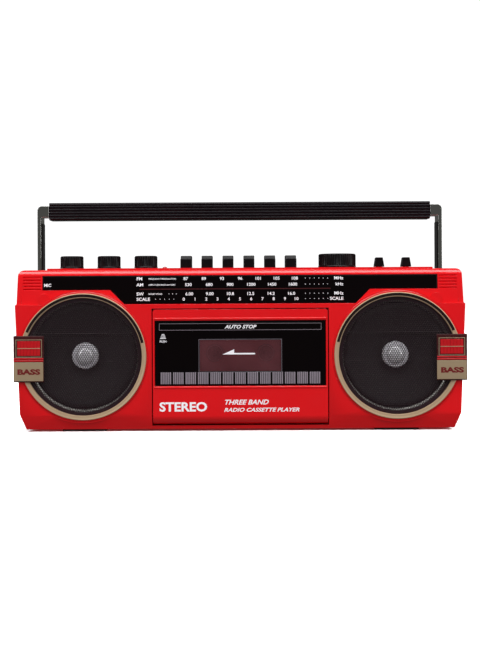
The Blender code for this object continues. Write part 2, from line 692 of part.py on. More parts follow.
# ---------------------------------------------------------------- cassette deck
def cassette_door():
    """The drop-forward door: a panel with the window opening, a round bottom edge and two hinge pins."""
    inner = FRONT_Y + DOOR_THICKNESS
    hinge = (DOOR_HINGE_Y, DOOR_HINGE_Z)
    side_view = [
        (FRONT_Y, DOOR_TOP),
        *arc(hinge, DOOR_HINGE_RADIUS, 180, 285, 7),
        (DOOR_HINGE_Y + 0.003, DOOR_HINGE_Z + 0.002),
        (inner, DOOR_HINGE_Z + 0.010),
        (inner, DOOR_TOP),
    ]
    corner = 0.002
    half = DOOR_HALF_WIDTH
    front_view = mirrored([(half, 0), *arc((half - corner, DOOR_TOP - corner), corner, 0, 90, 3)])
    door = common(prism(side_view, "X", -half - 0.01, half + 0.01), prism(front_view, "Y", FRONT_Y - 0.01, 0))
    width = WINDOW_HALF_WIDTH
    seat = FRONT_Y + WINDOW_SINK + WINDOW_THICKNESS + GAP
    door = cut(door,
               box((-width - GAP, FRONT_Y - 0.01, WINDOW_BOTTOM - GAP), (width + GAP, seat, WINDOW_TOP + GAP)),
               box((WINDOW_LIP - width, seat - 0.001, WINDOW_BOTTOM + WINDOW_LIP),
                   (width - WINDOW_LIP, inner + 0.01, WINDOW_TOP - WINDOW_LIP)))
    reach = CHASSIS_HALF_WIDTH - GAP
    pins = cylinder("X", (0, *hinge), HINGE_PIN_RADIUS, -reach, reach, 16)
    part("cassette_door", join(door, pins), "red_plastic", (0, *hinge))


def door_window():
    """The clear window plate of the door."""
    front = FRONT_Y + WINDOW_SINK
    plate = box((-WINDOW_HALF_WIDTH, front, WINDOW_BOTTOM), (WINDOW_HALF_WIDTH, front + WINDOW_THICKNESS, WINDOW_TOP))
    part("door_window", plate, "window", (0, DOOR_HINGE_Y, DOOR_HINGE_Z))


def cassette_holder():
    """The pocket behind the door, open at the top, with a wide gap at the back for the spindles."""
    half = CASSETTE_WIDTH / 2 + CASSETTE_CLEARANCE
    floor = CASSETTE_BASE_Z - CASSETTE_CLEARANCE
    back = HOLDER_FRONT_Y + HOLDER_DEPTH
    wall = HOLDER_WALL
    top = floor - wall + HOLDER_HEIGHT
    holder = box((-half - wall, HOLDER_FRONT_Y, floor - wall), (half + wall, back + wall, top))
    pocket = box((-half, HOLDER_FRONT_Y - 0.01, floor), (half, back, top + 0.01))
    lip = 2 * wall
    window = box((lip - half, back - 0.001, floor + lip), (half - lip, back + 0.01, top + 0.01))
    part("cassette_holder", cut(holder, pocket, window), "black_plastic", (0, DOOR_HINGE_Y, DOOR_HINGE_Z))


def deck_chassis():
    """The steel plate behind the cassette well, with two cheeks that carry the door's pins."""
    bottom = FOOT_HEIGHT + WALL + GAP
    back = CHASSIS_Y + CHASSIS_PLATE
    plate = box((-CHASSIS_HALF_WIDTH, CHASSIS_Y, bottom), (CHASSIS_HALF_WIDTH, back, CHASSIS_TOP))
    inner = DOOR_HALF_WIDTH + DOOR_GAP + GAP
    for side in (-1, 1):
        low, high = sorted((side * inner, side * CHASSIS_HALF_WIDTH))
        cheek = box((low, FRONT_INNER_Y + GAP, bottom), (high, CHASSIS_Y + 0.001, DOOR_TOP + DOOR_GAP))
        corner = sorted((side * CHASSIS_NECK, side * (CHASSIS_HALF_WIDTH + 0.01)))
        notch = box((corner[0], CHASSIS_Y - 0.01, DOOR_TOP + 0.004), (corner[1], back + 0.01, CHASSIS_TOP + 0.01))
        plate = cut(join(plate, cheek), notch)
    reach = CHASSIS_HALF_WIDTH + 0.01
    plate = cut(plate, cylinder("X", (0, DOOR_HINGE_Y, DOOR_HINGE_Z), HINGE_PIN_RADIUS + GAP, -reach, reach, 16))
    for side in (-1, 1):
        hole = cylinder("Y", (side * HUB_SPACING / 2, 0, HUB_Z), SPINDLE_RADIUS + SHAFT_CLEARANCE, -0.1, 0.1)
        plate = cut(plate, hole)
    plate = cut(plate, cylinder("Y", (CAPSTAN_X, 0, CAPSTAN_Z), CAPSTAN_RADIUS + SHAFT_CLEARANCE, -0.1, 0.1, 16))
    part("deck_chassis", plate, "steel")


def spindle(name, side):
    """A reel spindle: table, splined hub and the stub that turns in the chassis."""
    x = side * HUB_SPACING / 2
    table = HEAD_PLATE_Y
    hub = cylinder("Y", (x, 0, HUB_Z), REEL_TABLE_RADIUS, table - 0.0015, table, 32)
    hub = join(hub,
               cylinder("Y", (x, 0, HUB_Z), SPINDLE_RADIUS, table - 0.0085, table - 0.001, 18),
               cylinder("Y", (x, 0, HUB_Z), SPINDLE_RADIUS, table - 0.001, CHASSIS_Y + CHASSIS_PLATE + 0.003, 18))
    for turn in range(3):
        angle = math.radians(120 * turn + 90)
        fin = box((0, table - 0.0080, -0.0006), (SPINDLE_RADIUS + 0.0011, table - 0.001, 0.0006))
        fin.transform(Matrix.Translation((x, 0, HUB_Z)) @ Matrix.Rotation(angle, 4, "Y"))
        hub = join(hub, fin)
    part(name, hub, "dark_plastic", (x, table, HUB_Z))


DRIVE_Y = 0.0004
DRIVE_MID_Y = DRIVE_Y + FLYWHEEL_WIDTH / 2


def flywheel():
    """The flywheel with the capstan that passes through the chassis to the tape."""
    centre = (CAPSTAN_X, 0, CAPSTAN_Z)
    wheel = cylinder("Y", centre, FLYWHEEL_RADIUS, DRIVE_Y, DRIVE_Y + FLYWHEEL_WIDTH, 48)
    capstan = cylinder("Y", centre, CAPSTAN_RADIUS, CHASSIS_Y - 0.009, DRIVE_Y + FLYWHEEL_WIDTH + 0.002, 12)
    part("flywheel", join(wheel, capstan), "steel", (CAPSTAN_X, DRIVE_MID_Y, CAPSTAN_Z))


def deck_motor():
    """The motor can behind the chassis, bored for its shaft."""
    centre = (MOTOR_X, 0, MOTOR_Z)
    front = CHASSIS_Y + CHASSIS_PLATE + GAP
    can = cylinder("Y", centre, MOTOR_RADIUS, front, DRIVE_Y - 0.002, 32)
    bore = cylinder("Y", centre, PULLEY_RADIUS / 5 + SHAFT_CLEARANCE, DRIVE_Y - 0.012, DRIVE_Y + 0.01, 12)
    part("deck_motor", cut(can, bore), "steel")


def motor_pulley():
    """The pulley and its shaft."""
    centre = (MOTOR_X, 0, MOTOR_Z)
    wheel = cylinder("Y", centre, PULLEY_RADIUS, DRIVE_Y, DRIVE_Y + FLYWHEEL_WIDTH, 24)
    shaft = cylinder("Y", centre, PULLEY_RADIUS / 5, DRIVE_Y - 0.010, DRIVE_Y + 0.001, 12)
    part("motor_pulley", join(wheel, shaft), "steel", (MOTOR_X, DRIVE_MID_Y, MOTOR_Z))


def belt_outline(extra):
    """The taut loop round the flywheel and the pulley, standing off both by extra."""
    big, small = Vector((CAPSTAN_X, CAPSTAN_Z)), Vector((MOTOR_X, MOTOR_Z))
    line = small - big
    heading = math.degrees(math.atan2(line.y, line.x))
    lean = math.degrees(math.acos((FLYWHEEL_RADIUS - PULLEY_RADIUS) / line.length))
    return (arc(big, FLYWHEEL_RADIUS + extra, heading + lean, heading - lean + 360, 24)
            + arc(small, PULLEY_RADIUS + extra, heading - lean, heading + lean, 8))


def drive_belt():
    """The flat rubber belt from the motor pulley to the flywheel."""
    half = BELT_WIDTH / 2
    outer = prism(belt_outline(GAP + BELT_THICKNESS), "Y", DRIVE_MID_Y - half, DRIVE_MID_Y + half)
    inner = prism(belt_outline(GAP), "Y", DRIVE_MID_Y - 2 * half, DRIVE_MID_Y + 2 * half)
    part("drive_belt", cut(outer, inner), "rubber")


def tape_head():
    """The sliding head plate with the tape head and the axle of the pinch roller."""
    rest = CASSETTE_BASE_Z + CASSETTE_HEIGHT + 0.0015
    plate = box((CAPSTAN_X - 0.009, HEAD_PLATE_Y - 0.0011, rest), (HEAD_WIDTH, HEAD_PLATE_Y, rest + 0.016))
    head = box((-HEAD_WIDTH / 2, HEAD_PLATE_Y - 0.0147, rest), (HEAD_WIDTH / 2, HEAD_PLATE_Y - 0.0005, rest + 0.007))
    axle = cylinder("Y", (CAPSTAN_X, 0, PINCH_Z), PINCH_AXLE_RADIUS, HEAD_PLATE_Y - 0.0143, HEAD_PLATE_Y - 0.0005, 16)
    part("tape_head", join(plate, head, axle), "steel", (0, HEAD_PLATE_Y, rest))


def pinch_roller():
    """The rubber roller that presses the tape on the capstan."""
    centre = (CAPSTAN_X, 0, PINCH_Z)
    front = HEAD_PLATE_Y - 0.0135
    roller = cylinder("Y", centre, PINCH_RADIUS, front, front + 0.008, 32)
    bore = cylinder("Y", centre, PINCH_AXLE_RADIUS + SHAFT_CLEARANCE, front - 0.01, front + 0.02, 16)
    part("pinch_roller", cut(roller, bore), "rubber", (CAPSTAN_X, front + 0.004, PINCH_Z))


# ---------------------------------------------------------------- controls and electronics
BOARD_Z = CABINET_TOP - 0.0126
BOARD_THICKNESS = 0.0016
POT_SIZE = 0.014
POT_HEIGHT = 0.0066


def main_board():
    """The circuit board under the three rotary controls, with their sockets."""
    xs = list(KNOB_XS.values())
    low = min(xs) - POT_SIZE / 2 - 0.003
    high = max(xs) + POT_SIZE / 2 + 0.003
    top = BOARD_Z + BOARD_THICKNESS
    board = box((low, CONTROL_Y - 0.014, BOARD_Z), (high, CONTROL_Y + 0.012, top))
    for x in xs:
        half = POT_SIZE / 2
        pot = box((x - half, CONTROL_Y - half, top - 0.0002), (x + half, CONTROL_Y + half, top + POT_HEIGHT))
        socket = cylinder("Z", (x, CONTROL_Y, 0), KNOB_SHAFT_RADIUS + GAP, top + 0.001, top + POT_HEIGHT + 0.01)
        board = cut(join(board, pot), socket)
    part("main_board", board, "board_green")


def tuning_capacitor():
    """The tuning capacitor under the tuning knob, bored for its shaft."""
    half = 0.012
    top = BOARD_Z + BOARD_THICKNESS + POT_HEIGHT
    case = box((TUNING_X - half, CONTROL_Y - half, top - 0.020), (TUNING_X + half, CONTROL_Y + half, top))
    bore = cylinder("Z", (TUNING_X, CONTROL_Y, 0), KNOB_SHAFT_RADIUS + GAP, top - POT_HEIGHT, top + 0.01)
    part("tuning_capacitor", cut(case, bore), "dark_plastic")


def knob(name, x, radius, height):
    """A round knob with a base flange, a pointer ridge and a shaft that reaches through the panel."""
    base = PANEL_Z + CONTROL_LIFT
    top = base + height
    grip = radius * 0.87
    body = turned([
        (0, top),
        (grip - 0.0007, top),
        (grip, top - 0.0007),
        (grip, base + 0.0016),
        (radius, base + 0.0016),
        (radius, base),
        (KNOB_SHAFT_RADIUS, base),
        (KNOB_SHAFT_RADIUS, base - KNOB_SHAFT_LENGTH),
        (0, base - KNOB_SHAFT_LENGTH),
    ], "Z", (x, CONTROL_Y, 0), 36)
    ridge = box((x - 0.0009, CONTROL_Y - grip + 0.0015, top - 0.001), (x + 0.0009, CONTROL_Y, top + 0.0004))
    part(name, join(body, ridge), "black_plastic", (x, CONTROL_Y, base))


def key(index, name):
    """One deck key, lower at its front edge, standing in its slot."""
    x = key_centre(index)
    front = CONTROL_Y - KEY_LENGTH / 2
    back = front + KEY_LENGTH
    side_view = [
        (front, PANEL_Z - KEY_DEPTH),
        (back, PANEL_Z - KEY_DEPTH),
        (back, PANEL_Z + KEY_REAR_RISE),
        (front + KEY_STEP, PANEL_Z + KEY_REAR_RISE),
        (front + KEY_STEP - 0.0012, PANEL_Z + KEY_FRONT_RISE),
        (front, PANEL_Z + KEY_FRONT_RISE),
    ]
    body = prism(side_view, "X", x - KEY_WIDTH / 2, x + KEY_WIDTH / 2)
    part(name, body, "black_plastic", (x, CONTROL_Y, PANEL_Z))


def slide_switch(name, x):
    """A slide switch cap, narrower at the top, on a stem through its slot."""
    base = PANEL_Z + CONTROL_LIFT
    half = SWITCH_WIDTH / 2
    cap = prism([(x - half, base), (x + half, base), (x + half * 0.68, base + SWITCH_HEIGHT),
                 (x - half * 0.68, base + SWITCH_HEIGHT)], "Y", CONTROL_Y - half, CONTROL_Y + half)
    stem = box((x - half / 2, CONTROL_Y - SWITCH_WIDTH / 3, PANEL_Z - 0.008),
               (x + half / 2, CONTROL_Y + SWITCH_WIDTH / 3, base + 0.001))
    part(name, join(cap, stem), "black_plastic", (x, CONTROL_Y, base))


def power_lamp():
    """The small domed power lamp in the control panel."""
    lamp = turned([
        (0, PANEL_Z + 0.0015),
        (LAMP_RADIUS * 0.7, PANEL_Z + 0.0011),
        (LAMP_RADIUS, PANEL_Z),
        (LAMP_RADIUS, PANEL_Z - 0.005),
        (0, PANEL_Z - 0.005),
    ], "Z", (LAMP_X, CONTROL_Y, 0), 20)
    part("power_lamp", lamp, "lamp_red")


def dial_pointer():
    """The pointer behind the dial lens, on its carrier."""
    front = FRONT_Y + STEP_DEPTH + UPPER_LEAN + LENS_THICKNESS + 3 * GAP
    needle = box((POINTER_X - 0.0006, front, STEP_Z + 0.0085), (POINTER_X + 0.0006, front + 0.001, CABINET_TOP - 0.007))
    carrier = box((POINTER_X - 0.004, front + 0.0008, CABINET_TOP - 0.013),
                  (POINTER_X + 0.004, front + 0.0038, CABINET_TOP - 0.008))
    part("dial_pointer", join(needle, carrier), "lamp_red", (POINTER_X, front, CABINET_TOP - 0.013))


def ferrite_rod():
    """The ferrite aerial rod with its coil, under the rear of the top."""
    centre = (0, 0.018, CABINET_TOP - 0.016)
    rod = cylinder("X", centre, 0.0045, -0.065, 0.065, 16)
    part("ferrite_rod", join(rod, cylinder("X", centre, 0.0065, 0.015, 0.045, 16)), "ferrite")


def mains_transformer():
    """The mains transformer on the floor of the rear half: a laminated core and its winding."""
    floor = FOOT_HEIGHT + WALL + GAP
    core = box((0.100, 0.016, floor), (0.144, 0.034, floor + 0.036))
    part("mains_transformer", join(core, box((0.108, 0.009, floor + 0.007), (0.136, 0.041, floor + 0.029))), "copper")


INLET_MOUTH = 0.005           # depth of the inlet in front of its two pins


def mains_inlet():
    """The two-pin mains inlet in the rear wall."""
    width, height = INLET_SIZE
    low = (INLET_X - width / 2, REAR_Y - 0.018, INLET_Z - height / 2)
    body = box(low, (INLET_X + width / 2, REAR_Y - GAP, INLET_Z + height / 2))
    mouth = box((INLET_X - 0.0088, REAR_Y - 0.014, INLET_Z - 0.004), (INLET_X + 0.0088, REAR_Y + 0.01, INLET_Z + 0.004))
    body = cut(body, mouth)
    for side in (-1, 1):
        pin = cylinder("Y", (INLET_X + side * 0.0043, 0, INLET_Z), 0.0012, REAR_Y - 0.015, REAR_Y - INLET_MOUTH, 12)
        body = join(body, pin)
    part("mains_inlet", body, "dark_plastic")


def headphone_socket():
    """The headphone socket in the rear wall."""
    centre = (SOCKET_X, 0, INLET_Z)
    barrel = cylinder("Y", centre, SOCKET_RADIUS, REAR_Y - 0.012, REAR_Y - GAP, 24)
    part("headphone_socket", cut(barrel, cylinder("Y", centre, 0.0018, REAR_Y - 0.011, REAR_Y + 0.01, 16)), "dark_plastic")


# ---------------------------------------------------------------- handle, battery door, aerial, feet, screws
GRIP_BOTTOM = HANDLE_TOP - GRIP_HEIGHT
BAR_BOTTOM = GRIP_BOTTOM + GRIP_WALL + GAP
BAR_TOP = HANDLE_TOP - GRIP_WALL - GAP
HANDLE_FRONT = HANDLE_Y - HANDLE_DEPTH / 2
HANDLE_BACK = HANDLE_Y + HANDLE_DEPTH / 2


def handle_bar():
    """The chrome bail: two flat arms, rounded corner blocks and the bar inside the grip."""
    outer = HANDLE_HALF_WIDTH
    inner = outer - HANDLE_PLATE
    low = PIVOT_Z - HANDLE_DEPTH
    corner = 0.004
    half = [(inner, BAR_BOTTOM), (inner, low), (outer, low), *arc((outer - corner, BAR_TOP - corner), corner, 0, 90, 5)]
    frame = prism(mirrored(half), "Y", HANDLE_FRONT, HANDLE_BACK)
    side_view = [(HANDLE_BACK, BAR_TOP + 0.01), (HANDLE_FRONT, BAR_TOP + 0.01),
                 *arc((HANDLE_Y, PIVOT_Z), HANDLE_DEPTH / 2, 180, 360, 12)]
    frame = common(frame, prism(side_view, "X", -outer - 0.01, outer + 0.01))
    reach = GRIP_HALF_LENGTH + GAP
    frame = cut(frame, box((-reach, HANDLE_FRONT - 0.01, BAR_BOTTOM - 0.01), (reach, HANDLE_BACK + 0.01, BAR_TOP + 0.01)))
    inset = GRIP_WALL + GAP
    bar = box((-reach - 0.001, HANDLE_FRONT + inset, BAR_BOTTOM), (reach + 0.001, HANDLE_BACK - inset, BAR_TOP))
    hole = cylinder("X", (0, PIVOT_Y, PIVOT_Z), PIVOT_RADIUS + GAP, -outer - 0.01, outer + 0.01)
    part("handle_bar", cut(join(frame, bar), hole), "chrome", (0, PIVOT_Y, PIVOT_Z))


def grip_outline():
    """The grip seen from its end, with shallow ribs along the front and the back."""
    pitch = GRIP_HEIGHT / (GRIP_RIBS + 1)
    face = []
    for rib in range(GRIP_RIBS):
        middle = GRIP_BOTTOM + pitch * (rib + 1)
        face += [(0, middle - pitch * 0.22), (GRIP_RIB_DEPTH, middle - pitch * 0.12),
                 (GRIP_RIB_DEPTH, middle + pitch * 0.12), (0, middle + pitch * 0.22)]
    bevel = 0.0012
    rear = [(HANDLE_BACK - bevel, GRIP_BOTTOM), (HANDLE_BACK, GRIP_BOTTOM + bevel)]
    rear += [(HANDLE_BACK - depth, z) for depth, z in face]
    rear += [(HANDLE_BACK, HANDLE_TOP - bevel), (HANDLE_BACK - bevel, HANDLE_TOP)]
    return rear + [(2 * HANDLE_Y - y, z) for y, z in reversed(rear)]


def handle_grip():
    """The black ribbed sleeve on the bail."""
    grip = prism(grip_outline(), "X", -GRIP_HALF_LENGTH, GRIP_HALF_LENGTH)
    reach = GRIP_HALF_LENGTH + 0.01
    channel = box((-reach, HANDLE_FRONT + GRIP_WALL, GRIP_BOTTOM + GRIP_WALL),
                  (reach, HANDLE_BACK - GRIP_WALL, HANDLE_TOP - GRIP_WALL))
    part("handle_grip", cut(grip, channel), "black_plastic", (0, PIVOT_Y, PIVOT_Z))


def handle_pivot(side, suffix):
    """The headed pin that an arm of the bail turns on."""
    centre = (0, PIVOT_Y, PIVOT_Z)
    head = side * (HANDLE_HALF_WIDTH + GAP)
    pin = cylinder("X", centre, PIVOT_RADIUS, *sorted((side * (REAR_UPPER_HALF_WIDTH - WALL - 0.002), head)))
    cap = cylinder("X", centre, PIVOT_HEAD_RADIUS, *sorted((head - side * 0.0001, head + side * PIVOT_HEAD_LENGTH)))
    part("handle_pivot_" + suffix, join(pin, cap), "steel")


def battery_door():
    """The battery door in the rear wall, hinged along its lower edge, with a finger rib."""
    low = (BATTERY_LEFT + GAP, REAR_Y - BATTERY_DOOR_THICKNESS, BATTERY_BOTTOM + GAP)
    high = (BATTERY_RIGHT - GAP, REAR_Y - GAP, BATTERY_TOP - GAP)
    door = box(low, high)
    middle = (BATTERY_LEFT + BATTERY_RIGHT) / 2
    notch = box((middle - 0.012, REAR_Y - 0.0012, BATTERY_TOP - 0.009), (middle + 0.012, REAR_Y + 0.01, BATTERY_TOP - 0.005))
    part("battery_door", cut(door, notch), "black_plastic", (middle, REAR_Y - GAP, BATTERY_BOTTOM + 2 * GAP))


TUBE_NEAR = AERIAL_X - AERIAL_LUG
TUBE_FAR = TUBE_NEAR - AERIAL_LENGTH
LUG_HALF = 0.0020


def aerial_swivel():
    """The swivel foot of the aerial: a round base with a stub and a fork with its pin."""
    bed = CABINET_TOP - AERIAL_BED_DEPTH + GAP
    top = bed + 0.0012
    foot = cylinder("Z", (AERIAL_X, AERIAL_Y, 0), SWIVEL_RADIUS, bed, top)
    stub = cylinder("Z", (AERIAL_X, AERIAL_Y, 0), SWIVEL_RADIUS / 2, bed - 0.006, bed + 0.0004)
    fork = join(foot, stub)
    for side in (-1, 1):
        low, high = sorted((AERIAL_Y + side * (LUG_HALF + GAP), AERIAL_Y + side * (LUG_HALF + 0.0020)))
        fork = join(fork, box((AERIAL_X - 0.0035, low, top - 0.0004), (AERIAL_X + 0.0035, high, AERIAL_Z + 0.0032)))
    pin = cylinder("Y", (AERIAL_X, 0, AERIAL_Z), 0.001, AERIAL_Y - LUG_HALF - 0.001, AERIAL_Y + LUG_HALF + 0.001, 12)
    part("aerial_swivel", join(fork, pin), "chrome", (AERIAL_X, AERIAL_Y, AERIAL_Z))


def aerial_tubes():
    """The three sections of the telescopic aerial, pushed in."""
    centre = (0, AERIAL_Y, AERIAL_Z)
    pivot = (AERIAL_X, AERIAL_Y, AERIAL_Z)
    outer = cylinder("X", centre, AERIAL_RADIUS, TUBE_FAR, TUBE_NEAR)
    bore = AERIAL_RADIUS - TUBE_WALL
    outer = cut(outer, cylinder("X", centre, bore, TUBE_FAR - 0.01, TUBE_NEAR - 0.010))
    lug = box((TUBE_NEAR - 0.001, AERIAL_Y - LUG_HALF, AERIAL_Z - 0.0028), (AERIAL_X, AERIAL_Y + LUG_HALF, AERIAL_Z + 0.0028))
    eye = cylinder("Y", pivot, 0.0028, AERIAL_Y - LUG_HALF, AERIAL_Y + LUG_HALF, 20)
    hole = cylinder("Y", pivot, 0.001 + GAP, AERIAL_Y - 0.01, AERIAL_Y + 0.01, 12)
    part("aerial_tube_outer", cut(join(outer, lug, eye), hole), "chrome", pivot)
    middle_radius = bore - TUBE_CLEARANCE
    middle_near = TUBE_NEAR - 0.012
    middle = cylinder("X", centre, middle_radius, TUBE_FAR - 0.0015, middle_near, 20)
    bore = middle_radius - TUBE_WALL
    middle = cut(middle, cylinder("X", centre, bore, TUBE_FAR - 0.01, middle_near - 0.004, 20))
    part("aerial_tube_middle", middle, "chrome", (middle_near, AERIAL_Y, AERIAL_Z))
    tip_near = middle_near - 0.006
    tip = cylinder("X", centre, bore - TUBE_CLEARANCE, TUBE_FAR - 0.004, tip_near, 16)
    knob_end = cylinder("X", centre, AERIAL_RADIUS - 0.0004, TUBE_FAR - 0.010, TUBE_FAR - 0.003, 20)
    part("aerial_tip", join(tip, knob_end), "chrome", (tip_near, AERIAL_Y, AERIAL_Z))


def foot(side, suffix):
    """A rubber foot rail under one end."""
    low, high = sorted((side * (FOOT_X - FOOT_WIDTH / 2), side * (FOOT_X + FOOT_WIDTH / 2)))
    rail = box((low, -FOOT_LENGTH / 2, 0), (high, FOOT_LENGTH / 2, FOOT_HEIGHT - GAP))
    part("foot_" + suffix, rail, "rubber")


def case_screw(name, x, z):
    """A long screw that draws the two halves together."""
    shank = cylinder("Y", (x, 0, z), SCREW_RADIUS, PARTING_Y - 0.0145, SCREW_SEAT_Y + 0.001, 12)
    head = cylinder("Y", (x, 0, z), SCREW_HEAD_RADIUS, SCREW_SEAT_Y + GAP, SCREW_SEAT_Y + 0.0028, 20)
    slot = 0.0009
    cross = [box((x - slot, SCREW_SEAT_Y + 0.0016, z - 0.002), (x + slot, SCREW_SEAT_Y + 0.01, z + 0.002)),
             box((x - 0.002, SCREW_SEAT_Y + 0.0016, z - slot), (x + 0.002, SCREW_SEAT_Y + 0.01, z + slot))]
    part(name, cut(join(shank, head), *cross), "steel")


# ---------------------------------------------------------------- the whole player
front_cabinet()
rear_cabinet()
dial_lens()
for hand, ending in ((-1, "left"), (1, "right")):
    speaker(hand, ending)
    bass_badge(hand, ending)
    foot(hand, ending)
    handle_pivot(hand, ending)
cassette_door()
door_window()
cassette_holder()
deck_chassis()
spindle("take_up_spindle", -1)
spindle("supply_spindle", 1)
flywheel()
deck_motor()
motor_pulley()
drive_belt()
tape_head()
pinch_roller()
main_board()
tuning_capacitor()
for knob_name, knob_x in KNOB_XS.items():
    knob(knob_name, knob_x, KNOB_RADIUS, KNOB_HEIGHT)
knob("tuning_knob", TUNING_X, TUNING_RADIUS, TUNING_HEIGHT)
for number, key_name in enumerate(KEY_NAMES):
    key(number, key_name)
for switch_name, switch_x in SWITCH_XS.items():
    slide_switch(switch_name, switch_x)
power_lamp()
dial_pointer()
ferrite_rod()
mains_transformer()
mains_inlet()
headphone_socket()
handle_bar()
handle_grip()
battery_door()
aerial_swivel()
aerial_tubes()
for screw_name, screw_x, screw_z in screw_places():
    case_screw(screw_name, screw_x, screw_z)
bpy.context.view_layer.update()
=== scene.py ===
# %% [markdown]
# # A portable radio-cassette player, finished in Blender
#
# The CAD model gives every piece its place and size. This lesson dresses it: rounded edges,
# turned rings, perforated grilles, printed scales, and materials with grain and smudges.
# Each piece rides on a CAD body, so the door, keys, knobs, handle and aerial still move.

import json
import math

import bmesh
import bpy
from mathutils import Matrix, Vector
from mathutils.bvhtree import BVHTree

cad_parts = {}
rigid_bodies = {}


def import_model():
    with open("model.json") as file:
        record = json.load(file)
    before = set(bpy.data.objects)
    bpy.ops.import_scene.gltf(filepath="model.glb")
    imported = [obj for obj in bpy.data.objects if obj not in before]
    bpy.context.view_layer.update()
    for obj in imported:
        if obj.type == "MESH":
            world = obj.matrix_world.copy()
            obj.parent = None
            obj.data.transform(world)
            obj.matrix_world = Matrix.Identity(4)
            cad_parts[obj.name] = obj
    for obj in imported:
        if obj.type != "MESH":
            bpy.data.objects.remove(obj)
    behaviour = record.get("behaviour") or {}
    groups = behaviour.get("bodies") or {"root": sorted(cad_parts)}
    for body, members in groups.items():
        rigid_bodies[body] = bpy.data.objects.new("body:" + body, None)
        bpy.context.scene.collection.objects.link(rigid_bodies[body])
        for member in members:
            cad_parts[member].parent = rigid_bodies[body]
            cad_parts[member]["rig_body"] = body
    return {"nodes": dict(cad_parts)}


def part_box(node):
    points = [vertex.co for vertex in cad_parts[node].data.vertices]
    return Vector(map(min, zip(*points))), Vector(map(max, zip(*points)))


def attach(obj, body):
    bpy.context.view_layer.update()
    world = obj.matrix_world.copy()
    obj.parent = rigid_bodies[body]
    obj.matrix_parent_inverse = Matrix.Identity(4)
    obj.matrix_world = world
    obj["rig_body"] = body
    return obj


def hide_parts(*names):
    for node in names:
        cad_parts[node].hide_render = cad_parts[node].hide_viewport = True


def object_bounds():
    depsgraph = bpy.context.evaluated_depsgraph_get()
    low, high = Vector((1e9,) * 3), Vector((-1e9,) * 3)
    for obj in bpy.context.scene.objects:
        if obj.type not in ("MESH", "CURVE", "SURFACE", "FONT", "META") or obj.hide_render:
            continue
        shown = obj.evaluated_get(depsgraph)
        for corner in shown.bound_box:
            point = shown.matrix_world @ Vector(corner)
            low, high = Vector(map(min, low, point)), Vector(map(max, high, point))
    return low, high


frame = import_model()
cad_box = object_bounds()
nodes = frame["nodes"]
MM = 0.001

print("CAD box in mm:", [[round(value / MM, 1) for value in corner] for corner in cad_box])

# %% [markdown]
# ## Shader maths as plain expressions
#
# A material is a small program: noise goes in, a colour and a roughness come out. Laying the
# nodes by hand hides that, so one class wraps a socket and lets Python's operators add the Math
# nodes. Every other node comes from its `node` method, which sets the settings first.

# %% A socket that does maths
class Wire:
    """An output socket in a material. Expressions on wires add Math nodes."""

    def __init__(self, tree, socket=None):
        self.tree, self.socket = tree, socket

    def node(self, kind, settings=None, inputs=None, output=0):
        """A new node: its settings, then the values or links of its sockets."""
        made = self.tree.nodes.new(kind)
        for name, value in (settings or {}).items():
            setattr(made, name, value)
        for name, value in (inputs or {}).items():
            if isinstance(value, Wire):
                self.tree.links.new(value.socket, made.inputs[name])
            else:
                made.inputs[name].default_value = value
        return Wire(self.tree, made.outputs[output])

    def maths(self, operation, first, second=0.0):
        return self.node("ShaderNodeMath", {"operation": operation}, {0: first, 1: second})

    def __add__(self, other):
        return self.maths("ADD", self, other)

    def __sub__(self, other):
        return self.maths("SUBTRACT", self, other)

    def __rsub__(self, other):
        return self.maths("SUBTRACT", other, self)

    def __mul__(self, other):
        return self.maths("MULTIPLY", self, other)

    __radd__, __rmul__ = __add__, __mul__


print("operators ready:", [name for name in vars(Wire) if name.startswith("__r")])

# %% Colours and patterns that most finishes share
def seen(red, green, blue):
    """A colour as the eye reads it, 0 to 255 a channel, as the linear values a shader takes."""
    channels = [value / 255 for value in (red, green, blue)]
    return (*[v / 12.92 if v <= 0.04045 else ((v + 0.055) / 1.055) ** 2.4 for v in channels], 1)


def darker(colour, share):
    """The colour times this share; a share over 1 is lighter."""
    return (*[value * share for value in colour[:3]], 1)


def blended(mask, first, second):
    """The first colour where the mask is 0, the second where it is 1."""
    sockets = {"Factor": mask, 6: first, 7: second}
    return mask.node("ShaderNodeMix", {"data_type": "RGBA"}, sockets, output=2)


def place_on(start, stretch=(1, 1, 1)):
    """The point on the piece, in metres, stretched along each axis."""
    point = start.node("ShaderNodeTexCoord", output="Object")
    return point.node("ShaderNodeVectorMath", {"operation": "MULTIPLY"}, {0: point, 1: stretch})


def cloud(start, size, detail=2.0, stretch=(1, 1, 1)):
    """Soft noise from 0 to 1 whose blotches are about this size in metres."""
    sockets = {"Vector": place_on(start, stretch), "Scale": 1 / size, "Detail": detail}
    return start.node("ShaderNodeTexNoise", inputs=sockets)


def bumped(height, depth):
    """A normal pushed about by a height from 0 to 1, this many metres deep."""
    return height.node("ShaderNodeBump", inputs={"Height": height, "Distance": depth})


def new_finish(name, **fixed):
    """A material, its wire and its Principled shader, with the sockets that stay the same."""
    material = bpy.data.materials.new(name)
    material.use_nodes = True
    shader = material.node_tree.nodes["Principled BSDF"]
    for socket, value in fixed.items():
        shader.inputs[socket.replace("_", " ")].default_value = value
    return material, Wire(material.node_tree), shader


def feed(wire, shader, socket):
    """Links a wire to the shader's socket of this name."""
    wire.tree.links.new(wire.socket, shader.inputs[socket])


print("red as the shader sees it:", [round(value, 3) for value in seen(213, 12, 20)])

